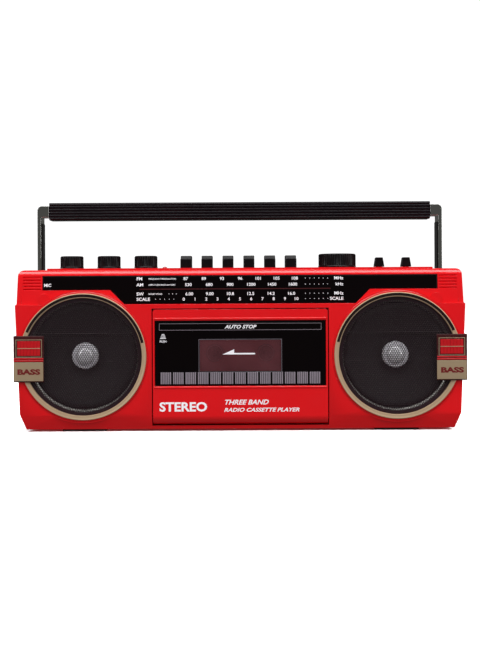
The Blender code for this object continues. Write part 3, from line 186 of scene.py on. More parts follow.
# %% [markdown]
# ## Moulded, plated and painted surfaces
#
# Moulded plastic is never one flat value. Its colour wanders by a few percent where the melt
# cooled, fingers leave duller patches in the gloss, and the tool's surface leaves a grain. One
# function does all three from noise at three sizes. It serves plastic, paint, rubber and plated
# metal alike, because only the numbers differ. A black piece under a big lamp looks grey unless
# its plain reflection is turned down, which is what the low specular levels are for.

# %% One recipe for most surfaces
PATCH, FINGERMARK = 0.03, 0.012  # how far apart the colour's patches and the marks lie, in metres


def surface(name, colour, rough, grain, depth, mottle=0.1, smudge=0.12, stretch=(1, 1, 1), **fixed):
    """Mottled colour, smudged gloss, and a grain of this size and depth in metres."""
    material, start, shader = new_finish(name, **fixed)
    patches = cloud(start, PATCH, 3.0)
    feed(blended(patches, darker(colour, 1 - mottle), darker(colour, 1 + mottle)), shader, "Base Color")
    handled = cloud(start, FINGERMARK, 4.0, (1, 1.3, 0.7))
    feed(handled * handled * (2 * smudge) + (rough - smudge * 0.4), shader, "Roughness")
    feed(bumped(cloud(start, grain, 2.0, stretch), depth), shader, "Normal")
    return material


ALONG_X, ALONG_Z = (0.15, 1, 1), (1, 1, 0.2)
finishes = {
    "red": surface("red_moulding", seen(213, 12, 20), 0.17, 0.004, 0.00003, 0.05, 0.08,
                   Coat_Weight=0.25, Coat_Roughness=0.08),
    "black": surface("grained_black", seen(30, 26, 29), 0.42, 0.0006, 0.00008, 0.2),
    "control": surface("control_black", seen(10, 6, 9), 0.3, 0.0009, 0.00003, 0.15, Specular_IOR_Level=0.25),
    "grip": surface("grip_black", seen(13, 6, 12), 0.34, 0.0011, 0.00004, 0.15, 0.1, (0.3, 1, 1),
                    Specular_IOR_Level=0.2),
    "lens": surface("dial_black", seen(4, 1, 2), 0.06, 0.006, 0.00001, 0.3, 0.05,
                    Coat_Weight=0.1, Coat_Roughness=0.03, Specular_IOR_Level=0.2),
    "maroon": surface("badge_maroon", seen(58, 18, 20), 0.25, 0.002, 0.00002, 0.12),
    "badge red": surface("badge_red", seen(178, 16, 24), 0.2, 0.002, 0.00002, 0.08),
    "chrome": surface("bright_chrome", seen(200, 200, 196), 0.09, 0.004, 0.00001, 0.05, Metallic=1.0),
    "steel": surface("plated_steel", seen(158, 157, 152), 0.32, 0.0008, 0.00003, 0.1, 0.15, ALONG_X,
                     Metallic=1.0),
    "grille": surface("grille_paint", seen(38, 21, 27), 0.34, 0.0008, 0.00004, 0.2, Specular_IOR_Level=0.35),
    "deck": surface("deck_paint", seen(206, 112, 120), 0.45, 0.0008, 0.00004, 0.1),
    "inlay": surface("ring_inlay", seen(30, 17, 17), 0.2, 0.002, 0.00001, 0.12),
    "grey": surface("hub_grey", seen(150, 142, 146), 0.4, 0.001, 0.00003, 0.08),
    "silver": surface("block_silver", seen(150, 140, 150), 0.4, 0.0012, 0.00003, 0.1, 0.1, ALONG_Z,
                      Metallic=0.25),
    "dark": surface("dark_moulding", seen(44, 40, 44), 0.5, 0.0008, 0.00005, 0.12),
    "holder": surface("holder_red", seen(150, 44, 48), 0.4, 0.0009, 0.00004, 0.1),
    "rubber": surface("foot_rubber", seen(30, 29, 30), 0.8, 0.0005, 0.00008, 0.2),
    "ferrite": surface("sintered_ferrite", seen(58, 55, 57), 0.7, 0.0004, 0.00009, 0.15),
    "lamp": surface("lamp_red", seen(150, 20, 18), 0.12, 0.002, 0.00002, 0.1, Coat_Weight=0.5),
    "white ink": surface("white_ink", seen(238, 236, 240), 0.45, 0.0007, 0.00001, 0.04),
    "grey ink": surface("grey_ink", seen(122, 112, 120), 0.45, 0.0007, 0.00001, 0.05),
    "red ink": surface("red_ink", seen(104, 4, 8), 0.45, 0.0007, 0.00001, 0.06),
    "gold plate": surface("brushed_gold", seen(176, 154, 124), 0.42, 0.0005, 0.00003, 0.08, 0.12,
                          (0.06, 1, 1), Metallic=0.5),
    "cap": surface("metal_cap", seen(250, 248, 252), 0.2, 0.0016, 0.00012, 0.05, Metallic=0.25),
}
print(len(finishes), "surfaces so far")

# %% [markdown]
# ## Finishes with a pattern of their own
#
# Some surfaces say how they were made. The speaker rings are spun, so their scratches run round
# the speaker's axis. The cone is pressed paper with ribs, the windings are wire side by side, and
# the board carries tracks under its lacquer. The pane over the hubs lets light through.

# %% Spun, pressed, wound, lacquered and clear
LATHE_LINES, PRESS_RIBS = 9000, 2600  # how fast the pattern runs outward, a metre


def from_axis(start, centre):
    """How far a point is from a line along Y through this centre, in metres."""
    apart = start.node("ShaderNodeVectorMath", {"operation": "SUBTRACT"},
                       {0: place_on(start), 1: (centre.x, 0, centre.z)})
    flat = start.node("ShaderNodeVectorMath", {"operation": "MULTIPLY"}, {0: apart, 1: (1, 0, 1)})
    return flat.node("ShaderNodeVectorMath", {"operation": "LENGTH"}, {0: flat}, output="Value")


def spun_gold(name, centre):
    """Satin gold with the fine rings of a lathe tool."""
    material, start, shader = new_finish(name, Metallic=0.5)
    lathe = start.node("ShaderNodeTexNoise", {"noise_dimensions": "1D"},
                       {"W": from_axis(start, centre) * LATHE_LINES, "Scale": 1.0, "Detail": 2.0})
    tint = blended(cloud(start, 0.02), seen(186, 158, 126), seen(204, 176, 144))
    feed(tint, shader, "Base Color")
    feed(lathe * 0.18 + 0.38, shader, "Roughness")
    feed(bumped(lathe, 0.00002), shader, "Normal")
    return material


def pressed_paper(name, centre):
    """Dark paper pulp with the shallow ribs of the press."""
    material, start, shader = new_finish(name)
    ribs = start.node("ShaderNodeMath", {"operation": "SINE"}, {0: from_axis(start, centre) * PRESS_RIBS})
    pulp = cloud(start, 0.0009, 5.0)
    feed(blended(pulp, seen(14, 11, 13), seen(30, 25, 28)), shader, "Base Color")
    feed(pulp * 0.2 + 0.62, shader, "Roughness")
    feed(bumped(ribs * 0.3 + pulp, 0.00015), shader, "Normal")
    return material


def wound_wire(name):
    """Enamelled copper wire lying side by side."""
    material, start, shader = new_finish(name, Metallic=0.9)
    turns = start.node("ShaderNodeTexWave", {"bands_direction": "Z"},
                       {"Vector": place_on(start), "Scale": 500.0, "Distortion": 0.3})
    feed(blended(turns, seen(104, 50, 26), seen(196, 118, 70)), shader, "Base Color")
    feed(0.45 - turns * 0.15, shader, "Roughness")
    feed(bumped(turns, 0.0002), shader, "Normal")
    return material


def lacquered_board(name):
    """Green lacquer over copper tracks."""
    material, start, shader = new_finish(name)
    tracks = start.node("ShaderNodeTexBrick", inputs={"Vector": place_on(start), "Scale": 120.0,
                                                      "Mortar Size": 0.06}, output="Fac")
    feed(blended(tracks, seen(30, 68, 40), seen(78, 110, 56)), shader, "Base Color")
    feed(cloud(start, 0.006) * 0.2 + 0.2, shader, "Roughness")
    feed(bumped(tracks, 0.00005), shader, "Normal")
    return material


def smoked(name, tint, milk, cover):
    """A tinted see-through moulding: part of it stays a milky solid, more so at grazing angles."""
    material, start, shader = new_finish(name, Coat_Weight=0.4, Coat_Roughness=0.04)
    haze = cloud(start, 0.02, 4.0)
    feed(blended(haze, darker(milk, 0.8), darker(milk, 1.2)), shader, "Base Color")
    feed(haze * 0.08 + 0.05, shader, "Roughness")
    through = start.node("ShaderNodeBsdfTransparent", inputs={"Color": tint})
    edge = start.node("ShaderNodeFresnel", inputs={"IOR": 1.49})
    solid = Wire(start.tree, shader.outputs[0])
    share = edge + (haze * 0.1 + cover)
    mixed = start.node("ShaderNodeMixShader", inputs={0: share, 1: through, 2: solid})
    output = material.node_tree.nodes["Material Output"]
    start.tree.links.new(mixed.socket, output.inputs["Surface"])
    return material


def middle(node):
    """The middle of a CAD node's box."""
    low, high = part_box(node)
    return (low + high) / 2


finishes["winding"] = wound_wire("copper_winding")
finishes["board"] = lacquered_board("green_board")
finishes["clear"] = smoked("smoked_window", seen(222, 190, 194), seen(176, 108, 116), 0.06)
for side in ("left", "right"):
    finishes["ring " + side] = spun_gold("spun_gold_" + side, middle("speaker_ring_" + side))
    finishes["cone " + side] = pressed_paper("cone_paper_" + side, middle("speaker_cone_" + side))
print(len(finishes), "finishes")

# %% [markdown]
# ## Edges that catch the light
#
# The CAD solids are right in size but knife-sharp. A real moulding has a small radius on every
# edge, and that radius is what glints. So most pieces are the CAD shape again, with its flat
# triangles merged back into whole faces, and then a narrow bevel. Weighted normals keep the wide
# faces flat while the bevels turn smoothly.

# %% Pieces, bodies and rounded edges
WELD, FLAT_ENOUGH, EDGE_ANGLE = 0.000002, math.radians(0.6), math.radians(28)


def shown(name, mesh, finish, body, stands_for=()):
    """A finished piece that rides on a CAD body, and may stand for CAD nodes."""
    piece = bpy.data.objects.new(name, mesh)
    bpy.context.scene.collection.objects.link(piece)
    mesh.materials.clear()
    mesh.materials.append(finishes[finish])
    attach(piece, body)
    if stands_for:
        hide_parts(*stands_for)
    return piece


def mesh_from(work, name, crease=32):
    """A bmesh as a smooth mesh whose edges sharper than the crease stay sharp."""
    bmesh.ops.recalc_face_normals(work, faces=work.faces)
    mesh = bpy.data.meshes.new(name)
    work.to_mesh(mesh)
    work.free()
    mesh.shade_smooth()
    mesh.set_sharp_from_angle(angle=math.radians(crease))
    return mesh


def cad_shape(node):
    """The node's own surface with its flat triangles merged into faces."""
    work = bmesh.new()
    work.from_mesh(nodes[node].data)
    bmesh.ops.remove_doubles(work, verts=work.verts, dist=WELD)
    bmesh.ops.dissolve_limit(work, angle_limit=FLAT_ENOUGH, verts=work.verts, edges=work.edges)
    return mesh_from(work, node)


def soften(piece, width, segments=2):
    """Rounds the sharp edges by this width."""
    for edge in piece.data.edges:
        edge.use_edge_sharp = False
    bevel = piece.modifiers.new("rounded_edges", "BEVEL")
    bevel.width, bevel.segments, bevel.angle_limit = width, segments, EDGE_ANGLE
    bevel.limit_method = "ANGLE"
    bevel.miter_outer = "MITER_ARC"
    piece.modifiers.new("even_faces", "WEIGHTED_NORMAL").keep_sharp = True
    return piece


def finer(node, finish, width, segments=2, mesh=None):
    """The CAD node's shape, or a mesh worked from it, with rounded edges and a real finish."""
    piece = shown("shown_" + node, mesh or cad_shape(node), finish, nodes[node]["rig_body"], [node])
    return soften(piece, width, segments)


def box_into(work, low, high):
    """Adds a box between two corners to a bmesh."""
    size = [top - bottom for bottom, top in zip(low, high)]
    centre = [(top + bottom) / 2 for bottom, top in zip(low, high)]
    bmesh.ops.create_cube(work, size=1, matrix=Matrix.Translation(centre) @ Matrix.Diagonal((*size, 1)))


def prism_into(work, outline, near, far, along="Y"):
    """Adds a prism to a bmesh. The outline is in (x, z) along Y, or in (y, z) along X."""
    def corner(u, v, reach):
        return (u, reach, v) if along == "Y" else (reach, u, v)
    first = [work.verts.new(corner(u, v, near)) for u, v in outline]
    last = [work.verts.new(corner(u, v, far)) for u, v in outline]
    work.faces.new(first)
    work.faces.new(last[::-1])
    for i in range(len(outline)):
        j = (i + 1) % len(outline)
        work.faces.new((first[i], last[i], last[j], first[j]))


def turned(name, profile, centre, along="Y", steps=128, closed=False, shape=None, crease=32):
    """(radius, reach) points swept round an axis through the centre; shape may change a radius."""
    turn = Matrix.Rotation(math.pi / 2, 4, "X") if along == "Y" else Matrix.Identity(4)
    work, rows = bmesh.new(), []
    for radius, reach in profile:
        reach = -reach if along == "Y" else reach
        if radius < 1e-7:
            rows.append([work.verts.new(turn @ Vector((0, 0, reach)))] * steps)
            continue
        ring = []
        for step in range(steps):
            angle = step * math.tau / steps
            spread = shape(radius, reach, angle) if shape else radius
            point = Vector((spread * math.cos(angle), spread * math.sin(angle), reach))
            ring.append(work.verts.new(turn @ point))
        rows.append(ring)
    for low, high in zip(rows, rows[1:] + rows[:1] if closed else rows[1:]):
        for step in range(steps):
            after = (step + 1) % steps
            corners = list(dict.fromkeys((low[step], low[after], high[after], high[step])))
            if len(corners) > 2:
                work.faces.new(corners)
    bmesh.ops.translate(work, verts=work.verts, vec=centre)
    return mesh_from(work, name, crease)


print("bevels, prisms and turned shapes are ready, edges over", round(math.degrees(EDGE_ANGLE)), "degrees")

# %% [markdown]
# ## The red front half of the cabinet
#
# It is one moulding: a stepped face, two round bosses and a rolled top edge. At both ends of the
# dial a few louvres hide the microphones. The louvres are cut first and the edges are rounded
# after, so every slot gets its own small highlight. A bump map would vanish from the side.

# %% Louvres cut into the front, then rounded edges
def hit_front(tree, x, z):
    """Where a line from the front first meets the surface, as y."""
    found = tree.ray_cast(Vector((x, -1, z)), Vector((0, 1, 0)))[0]
    return found.y if found else None


def carved(mesh, cutter):
    """The mesh less the cutter."""
    body, tool = bpy.data.objects.new("body", mesh), bpy.data.objects.new("tool", cutter)
    for item in (body, tool):
        bpy.context.scene.collection.objects.link(item)
    step = body.modifiers.new("cut", "BOOLEAN")
    step.operation, step.object, step.solver = "DIFFERENCE", tool, "EXACT"
    graph = bpy.context.evaluated_depsgraph_get()
    result = bpy.data.meshes.new_from_object(body.evaluated_get(graph))
    for item in (body, tool):
        bpy.data.objects.remove(item)
    return result


LOUVRES, LOUVRE_PITCH, LOUVRE_DEPTH = 5, 2.5 * MM, 1.3 * MM
front_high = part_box("front_cabinet")[1]
lens_low, lens_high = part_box("dial_lens")
STEP_Z = lens_low.z - 0.6 * MM
louvre_near, louvre_far = lens_high.x + 1.3 * MM, front_high.x - 6.1 * MM
line_x, line_bottom, line_top = front_high.x - 5.0 * MM, STEP_Z + MM, front_high.z - 8 * MM
shell = cad_shape("front_cabinet")
front_tree = BVHTree.FromPolygons([v.co for v in shell.vertices], [p.vertices for p in shell.polygons])
cutters = bmesh.new()
for side in (-1, 1):
    for number in range(LOUVRES):
        z = lens_high.z - 0.8 * MM - number * LOUVRE_PITCH
        face = hit_front(front_tree, side * louvre_near, z)
        outline = [(face + LOUVRE_DEPTH, z + 0.5 * MM), (face - MM, z + 0.5 * MM), (face - MM, z - 1.4 * MM)]
        prism_into(cutters, outline, *sorted((side * louvre_near, side * louvre_far)), along="X")
    face, x = hit_front(front_tree, side * line_x, STEP_Z + 4 * MM), side * line_x
    corner_line = [(x - 0.3 * MM, line_bottom), (x + 0.3 * MM, line_bottom), (x + 0.1 * MM, line_top),
                   (x - 0.5 * MM, line_top)]
    prism_into(cutters, corner_line, face - MM, face + 0.25 * MM)
finer("front_cabinet", "red", 0.45 * MM, 3, carved(shell, mesh_from(cutters, "louvres")))
print("louvres from x =", round(louvre_near / MM, 1), "to", round(louvre_far / MM, 1), "mm")

# %% [markdown]
# ## Speakers: cone, grille and ring
#
# Behind each grille is a paper cone with a metal dust cap, which glints through the holes. The
# grille is sheet steel punched in a hexagonal pattern. It could be one disc with a see-through
# pattern, but real holes give real depth from every side: one cell is drawn, repeated on a
# honeycomb, and given its thickness at the end. The ring is turned, with a dark inlay round its
# upper part.

# %% A punched grille
HOLE_PITCH, HOLE_SHARE, SHEET = 1.9 * MM, 0.78, 0.25 * MM
SHEET_MARGIN, SHEET_DOME = 1.2 * MM, 0.4 * MM
PRESSED_LINES = (18.2 * MM, -4.3 * MM)  # above and below the speaker's middle
LINE_SPREAD, LINE_RISE = 0.7 * MM, 0.35 * MM


def punched_sheet(radius):
    """A round sheet with hexagonal holes, slightly domed towards the front."""
    work = bmesh.new()
    corner_reach, row_height = HOLE_PITCH / math.sqrt(3), HOLE_PITCH * math.sqrt(3) / 2
    turns = [i * math.pi / 3 for i in range(6)]
    corners = [Vector((math.sin(turn), 0, math.cos(turn))) * corner_reach for turn in turns]
    rows = int(radius / row_height) + 1
    for row in range(-rows, rows + 1):
        for column in range(-rows - 1, rows + 2):
            cell = Vector(((column + (row % 2) / 2) * HOLE_PITCH, 0, row * row_height))
            if cell.length > radius - HOLE_PITCH * 0.6:
                continue
            outer = [work.verts.new(cell + corner) for corner in corners]
            inner = [work.verts.new(cell + corner * HOLE_SHARE) for corner in corners]
            for i in range(6):
                j = (i + 1) % 6
                work.faces.new((outer[i], outer[j], inner[j], inner[i]))
    bmesh.ops.remove_doubles(work, verts=work.verts, dist=HOLE_PITCH / 50)
    for vert in work.verts:
        crease = max(math.exp(-((vert.co.z - line) / LINE_SPREAD) ** 2) for line in PRESSED_LINES)
        vert.co.y -= SHEET_DOME * (1 - (vert.co.length / radius) ** 2) + LINE_RISE * crease
    return mesh_from(work, "punched_sheet")


def grille(side, centre):
    """The punched sheet and the plain edge that holds it."""
    low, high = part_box("speaker_grille_" + side)
    hole = (high.x - low.x) / 2
    sheet = shown("punched_grille_" + side, punched_sheet(hole - SHEET_MARGIN), "grille", "cabinet",
                  ["speaker_grille_" + side])
    sheet.location = centre + Vector((0, low.y + 0.1 * MM, 0))
    punch = sheet.modifiers.new("thickness", "SOLIDIFY")
    punch.thickness, punch.offset = SHEET, 1.0
    inner = hole - 2.6 * MM
    edge = [(hole, low.y), (inner, low.y - 0.05 * MM), (inner - 0.4 * MM, low.y + 0.3 * MM),
            (inner, high.y), (hole, high.y)]
    ring = turned("grille_edge", edge, centre, closed=True)
    shown("grille_edge_" + side, ring, "grille", "cabinet")
    return len(sheet.data.polygons)


# %% Turned ring and its dark inlay
RING_INSET, RING_WIDTH, RING_STEPS = 1.3 * MM, 4.9 * MM, 192
INLAY_START, INLAY_END, INLAY_STEPS = math.radians(13), math.radians(156), 72


def inlay(sign, centre, near, far, front):
    """A curved bar from the ring's inner side over the top to its outer side."""
    work, rows, deep = bmesh.new(), [], front + 0.8 * MM
    section = ((near, deep), (near, front + 0.42 * MM), (far, front + 0.04 * MM), (far, deep))
    for step in range(INLAY_STEPS + 1):
        angle = INLAY_START + (INLAY_END - INLAY_START) * step / INLAY_STEPS
        slant = Vector((-sign * math.cos(angle), 0, math.sin(angle)))
        rows.append([work.verts.new(centre + slant * radius + Vector((0, y, 0))) for radius, y in section])
    for first, last in zip(rows, rows[1:]):
        for i in range(4):
            j = (i + 1) % 4
            work.faces.new((first[i], first[j], last[j], last[i]))
    work.faces.new(rows[0])
    work.faces.new(rows[-1][::-1])
    return mesh_from(work, "ring_inlay")


def trim_ring(side, centre):
    """The red lip of the cabinet's boss, the gold ring in it and the ring's inlay."""
    low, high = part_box("speaker_ring_" + side)
    seat, front = (high.x - low.x) / 2, low.y
    rim, lip = seat - RING_INSET, seat - RING_WIDTH
    boss = [(seat + 0.1 * MM, front + 2.2 * MM), (seat + 0.1 * MM, front + 1.5 * MM),
            (seat - 0.2 * MM, front + 1.25 * MM), (rim + 0.3 * MM, front + 1.25 * MM),
            (rim + 0.05 * MM, front + 1.4 * MM), (rim + 0.05 * MM, front + 2.2 * MM)]
    mesh = turned("boss_lip", boss, centre, steps=RING_STEPS, closed=True)
    shown("boss_lip_" + side, mesh, "red", "cabinet")
    profile = [(rim, front + 1.5 * MM), (rim, front + 0.5 * MM), (rim - 0.15 * MM, front + 0.15 * MM),
               (rim - 0.5 * MM, front), (rim - 0.8 * MM, front + 0.1 * MM),
               (lip + 0.9 * MM, front + 0.5 * MM), (lip + 0.45 * MM, front + 0.4 * MM),
               (lip + 0.1 * MM, front + 0.55 * MM),
               (lip, front + 0.9 * MM), (lip, high.y), (rim, high.y)]
    mesh = turned("turned_ring", profile, centre, steps=RING_STEPS, closed=True, crease=50)
    shown("turned_ring_" + side, mesh, "ring " + side, "cabinet", ["speaker_ring_" + side])
    sign = -1 if side == "left" else 1
    mesh = inlay(sign, centre, lip + 0.6 * MM, rim - 0.5 * MM, front)
    shown("ring_inlay_" + side, mesh, "inlay", "cabinet")


# %% Paper cone and dust cap, then both speakers
CAP_RADIUS, CAP_DOME, CAP_SETBACK = 11 * MM, 5.0 * MM, 1.6 * MM
PAPER = MM


def cone_and_cap(side, centre):
    """The cone's rolled edge and paper, and the metal cap in its middle."""
    low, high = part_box("speaker_cone_" + side)
    cone, cap, back = (high.x - low.x) / 2, CAP_RADIUS, high.y - PAPER
    roll = [(cone - 0.2 * MM, low.y + 1.5 * MM), (cone - 1.5 * MM, low.y + 0.3 * MM),
            (cone - 3.5 * MM, low.y), (cone - 5.5 * MM, low.y + 0.5 * MM), (cone - 7 * MM, low.y + 2 * MM)]
    paper = roll + [(cap + 14 * MM, back - 9 * MM), (cap + 4 * MM, back - 4 * MM), (cap - MM, back - 2 * MM),
                    (cap - MM, back - PAPER), (cap + 4 * MM, back - 3 * MM), (cap + 14 * MM, back - 8 * MM),
                    (cone - 7 * MM, low.y + 3 * MM), (cone - 0.2 * MM, low.y + 2.3 * MM)]
    mesh = turned("paper_cone", paper, centre, closed=True, crease=60)
    shown("paper_cone_" + side, mesh, "cone " + side, "cabinet", ["speaker_cone_" + side])
    tip, dome_radius = low.y + CAP_SETBACK, 0.74 * cap
    foot = [(0, back - 2.0 * MM), (cap - 0.4 * MM, back - 2.0 * MM)]
    flange = [(cap, tip + 7.4 * MM), (cap - 0.3 * MM, tip + 4.8 * MM), (cap - 1.2 * MM, tip + 4.2 * MM),
              (cap - 2.0 * MM, tip + 5.0 * MM), (dome_radius, tip + 5.2 * MM)]
    dome = [(dome_radius * math.cos(t), tip + CAP_DOME * (1 - math.sin(t))) for t in
            [i * math.pi / 20 for i in range(10)]] + [(0, tip)]
    mesh = turned("dust_cap", foot + flange + dome, centre, crease=60)
    shown("dust_cap_" + side, mesh, "cap", "cabinet")


for side in ("left", "right"):
    axis = middle("speaker_ring_" + side)
    axis = Vector((axis.x, 0, axis.z))
    holes = grille(side, axis)
    trim_ring(side, axis)
    cone_and_cap(side, axis)
    print(side, "speaker:", holes, "faces in its grille")

# %% [markdown]
# ## Printing on curved and leaning faces
#
# Numbers and lines are a thin skin of ink. An image would blur up close, so the words are Blender
# text turned into meshes. Each point is then dropped onto the face beneath it along the viewing
# direction of the front, so that the print follows the lean of the dial.

# %% Ink that lies on a face
INK, INK_PROUD, INK_SUNK = 0.06 * MM, 0.05 * MM, 0.03 * MM
CAP_SHARE = 0.73              # a capital's height as a share of the type size


def words_into(work, words, x, z, height, align="CENTER", slant=0.0, bold=0.0, wide=1.0):
    """Adds text of this cap height, its baseline at z, facing the front."""
    curve = bpy.data.curves.new("words", "FONT")
    curve.body, curve.size, curve.align_x = words, height / CAP_SHARE, align
    curve.extrude, curve.resolution_u, curve.shear, curve.offset = INK, 3, slant, bold
    text = bpy.data.objects.new("words", curve)
    bpy.context.scene.collection.objects.link(text)
    graph = bpy.context.evaluated_depsgraph_get()
    mesh = bpy.data.meshes.new_from_object(text.evaluated_get(graph))
    upright = Matrix.Rotation(math.pi / 2, 4, "X") @ Matrix.Diagonal((wide, 1, 1, 1))
    mesh.transform(Matrix.Translation((x, 0, z)) @ upright)
    work.from_mesh(mesh)
    bpy.data.objects.remove(text)


def bar_into(work, low_x, low_z, high_x, high_z):
    """Adds a printed bar between two corners."""
    outline = [(low_x, low_z), (high_x, low_z), (high_x, high_z), (low_x, high_z)]
    prism_into(work, outline, -INK, INK)


def frame_into(work, low_x, low_z, high_x, high_z, line):
    """Adds a printed rectangle's four lines."""
    bar_into(work, low_x, low_z, high_x, low_z + line)
    bar_into(work, low_x, high_z - line, high_x, high_z)
    bar_into(work, low_x, low_z + line, low_x + line, high_z - line)
    bar_into(work, high_x - line, low_z + line, high_x, high_z - line)


def dot_into(work, x, z, radius):
    """Adds a printed dot."""
    turns = [i * math.tau / 10 for i in range(10)]
    prism_into(work, [(x + radius * math.cos(a), z + radius * math.sin(a)) for a in turns], -INK, INK)


def printed(name, work, finish, body, ground):
    """Drops the ink onto the ground piece and gives it its body."""
    graph = bpy.context.evaluated_depsgraph_get()
    tree = BVHTree.FromObject(ground, graph)
    for vert in work.verts:
        face = hit_front(tree, vert.co.x, vert.co.z)
        if face is not None:
            vert.co.y = face + (-INK_PROUD if vert.co.y < 0 else INK_SUNK)
    return shown(name, mesh_from(work, name), finish, body)


print("ink stands", round(INK_PROUD / MM, 2), "mm proud")

# %% [markdown]
# ## The dial
#
# A polished black lens carries four scales: three wave bands and a plain 0 to 10 scale. Only
# numbers, units and band names are printed. A thin dark red line marks the pointer's track, and
# the pointer itself is a small red flag that rides on its own body.

# %% Lens, scales and pointer
lens = finer("dial_lens", "lens", 0.5 * MM, 3)
scales = bmesh.new()
ROWS = {  # name: baseline above the step in mm, words, numbers, unit, x of the first and last number in mm
    "FM": (19.8, "FREQUENCY MODULATION", "87 89 93 96 101 105 108", "MHz", -44.3, 44.5),
    "AM": (14.9, "AMPLITUDE MODULATION", "530 680 900 1200 1450 1600", "kHz", -42.2, 43.0),
    "SW": (7.4, "SHORT WAVE", "6.00 9.00 10.8 12.5 14.2 16.0", "MHz", -41.4, 41.8),
    "SCALE": (3.1, "", "0 1 2 3 4 5 6 7 8 9 10", "SCALE", -45.9, 45.8),
}
MORE_DOTS = {"SW": (-58, -55, -52), "SCALE": (-69, -65.2, -61.5, -57.8, -54)}  # x in mm
NAME_X, WORDS_X, UNIT_X = -84.5 * MM, -74.7 * MM, 84.3 * MM
NAME_HEIGHT, WORDS_HEIGHT, NUMBER_HEIGHT = 2.6 * MM, 1.3 * MM, 2.5 * MM
DOTS_FROM, DOT_PITCH, DOT_RADIUS = 53.4, 3.64, 0.3 * MM
for band, (above, words, numbers, unit, first_x, last_x) in ROWS.items():
    base = STEP_Z + above * MM
    words_into(scales, band, NAME_X, base, NAME_HEIGHT, "LEFT", bold=0.08 * MM, wide=1.1)
    words_into(scales, unit, UNIT_X, base, NAME_HEIGHT, "RIGHT", bold=0.07 * MM, wide=1.1)
    if words:
        words_into(scales, words, WORDS_X, base + 0.5 * MM, WORDS_HEIGHT, "LEFT", bold=0.02 * MM)
    numbers = numbers.split()
    for number, figure in enumerate(numbers):
        x = (first_x + (last_x - first_x) * number / (len(numbers) - 1)) * MM
        words_into(scales, figure, x, base, NUMBER_HEIGHT, bold=0.06 * MM, wide=1.1)
    for x in [DOTS_FROM + DOT_PITCH * i for i in range(6)] + list(MORE_DOTS.get(band, ())):
        dot_into(scales, x * MM, base + 1.2 * MM, DOT_RADIUS)
words_into(scales, "MIC", -160 * MM, lens_high.z - 8.6 * MM, NUMBER_HEIGHT, "LEFT", bold=0.1 * MM)
printed("dial_scales", scales, "white ink", "cabinet", lens)

track = bmesh.new()
bar_into(track, -82 * MM, STEP_Z + 12.1 * MM, 74 * MM, STEP_Z + 12.9 * MM)
printed("pointer_track", track, "maroon", "cabinet", lens)

flag_low, flag_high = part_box("dial_pointer")
print("dial pointer box in mm:", [round(v / MM, 1) for v in (*flag_low, *flag_high)])
finer("dial_pointer", "red ink", 0.2 * MM)

# %% [markdown]
# ## The badges on the corners
#
# Each badge wraps round the cabinet's corner beside a speaker: a dark red frame with a thin gold
# line, a ribbed red window, a red ridge and a brushed gold plate with one plain word. The pieces
# are stacked by height from the top of the CAD badge, and nothing stands in front of it.

# %% One badge, then its twin
LAYERS = 0.6 * MM             # left in front of the badge's body for what is laid on it
BAND, LINE, RIBS_ACROSS = 2.9 * MM, 0.45 * MM, 7
WINDOW_HEIGHT, RIB_GAP, RIB_RISE = 14 * MM, 0.25 * MM, 0.35


def badge_layer(name, side, front, finish, bars, width=0.15 * MM):
    """Bars (x, z, x, z, rise in mm) laid on the badge's face as one softened piece."""
    work = bmesh.new()
    for low_x, low_z, high_x, high_z, rise in bars:
        box_into(work, (low_x, front - rise * MM, low_z), (high_x, front + 0.3 * MM, high_z))
    return soften(shown(name + "_" + side, mesh_from(work, name), finish, "cabinet"), width)


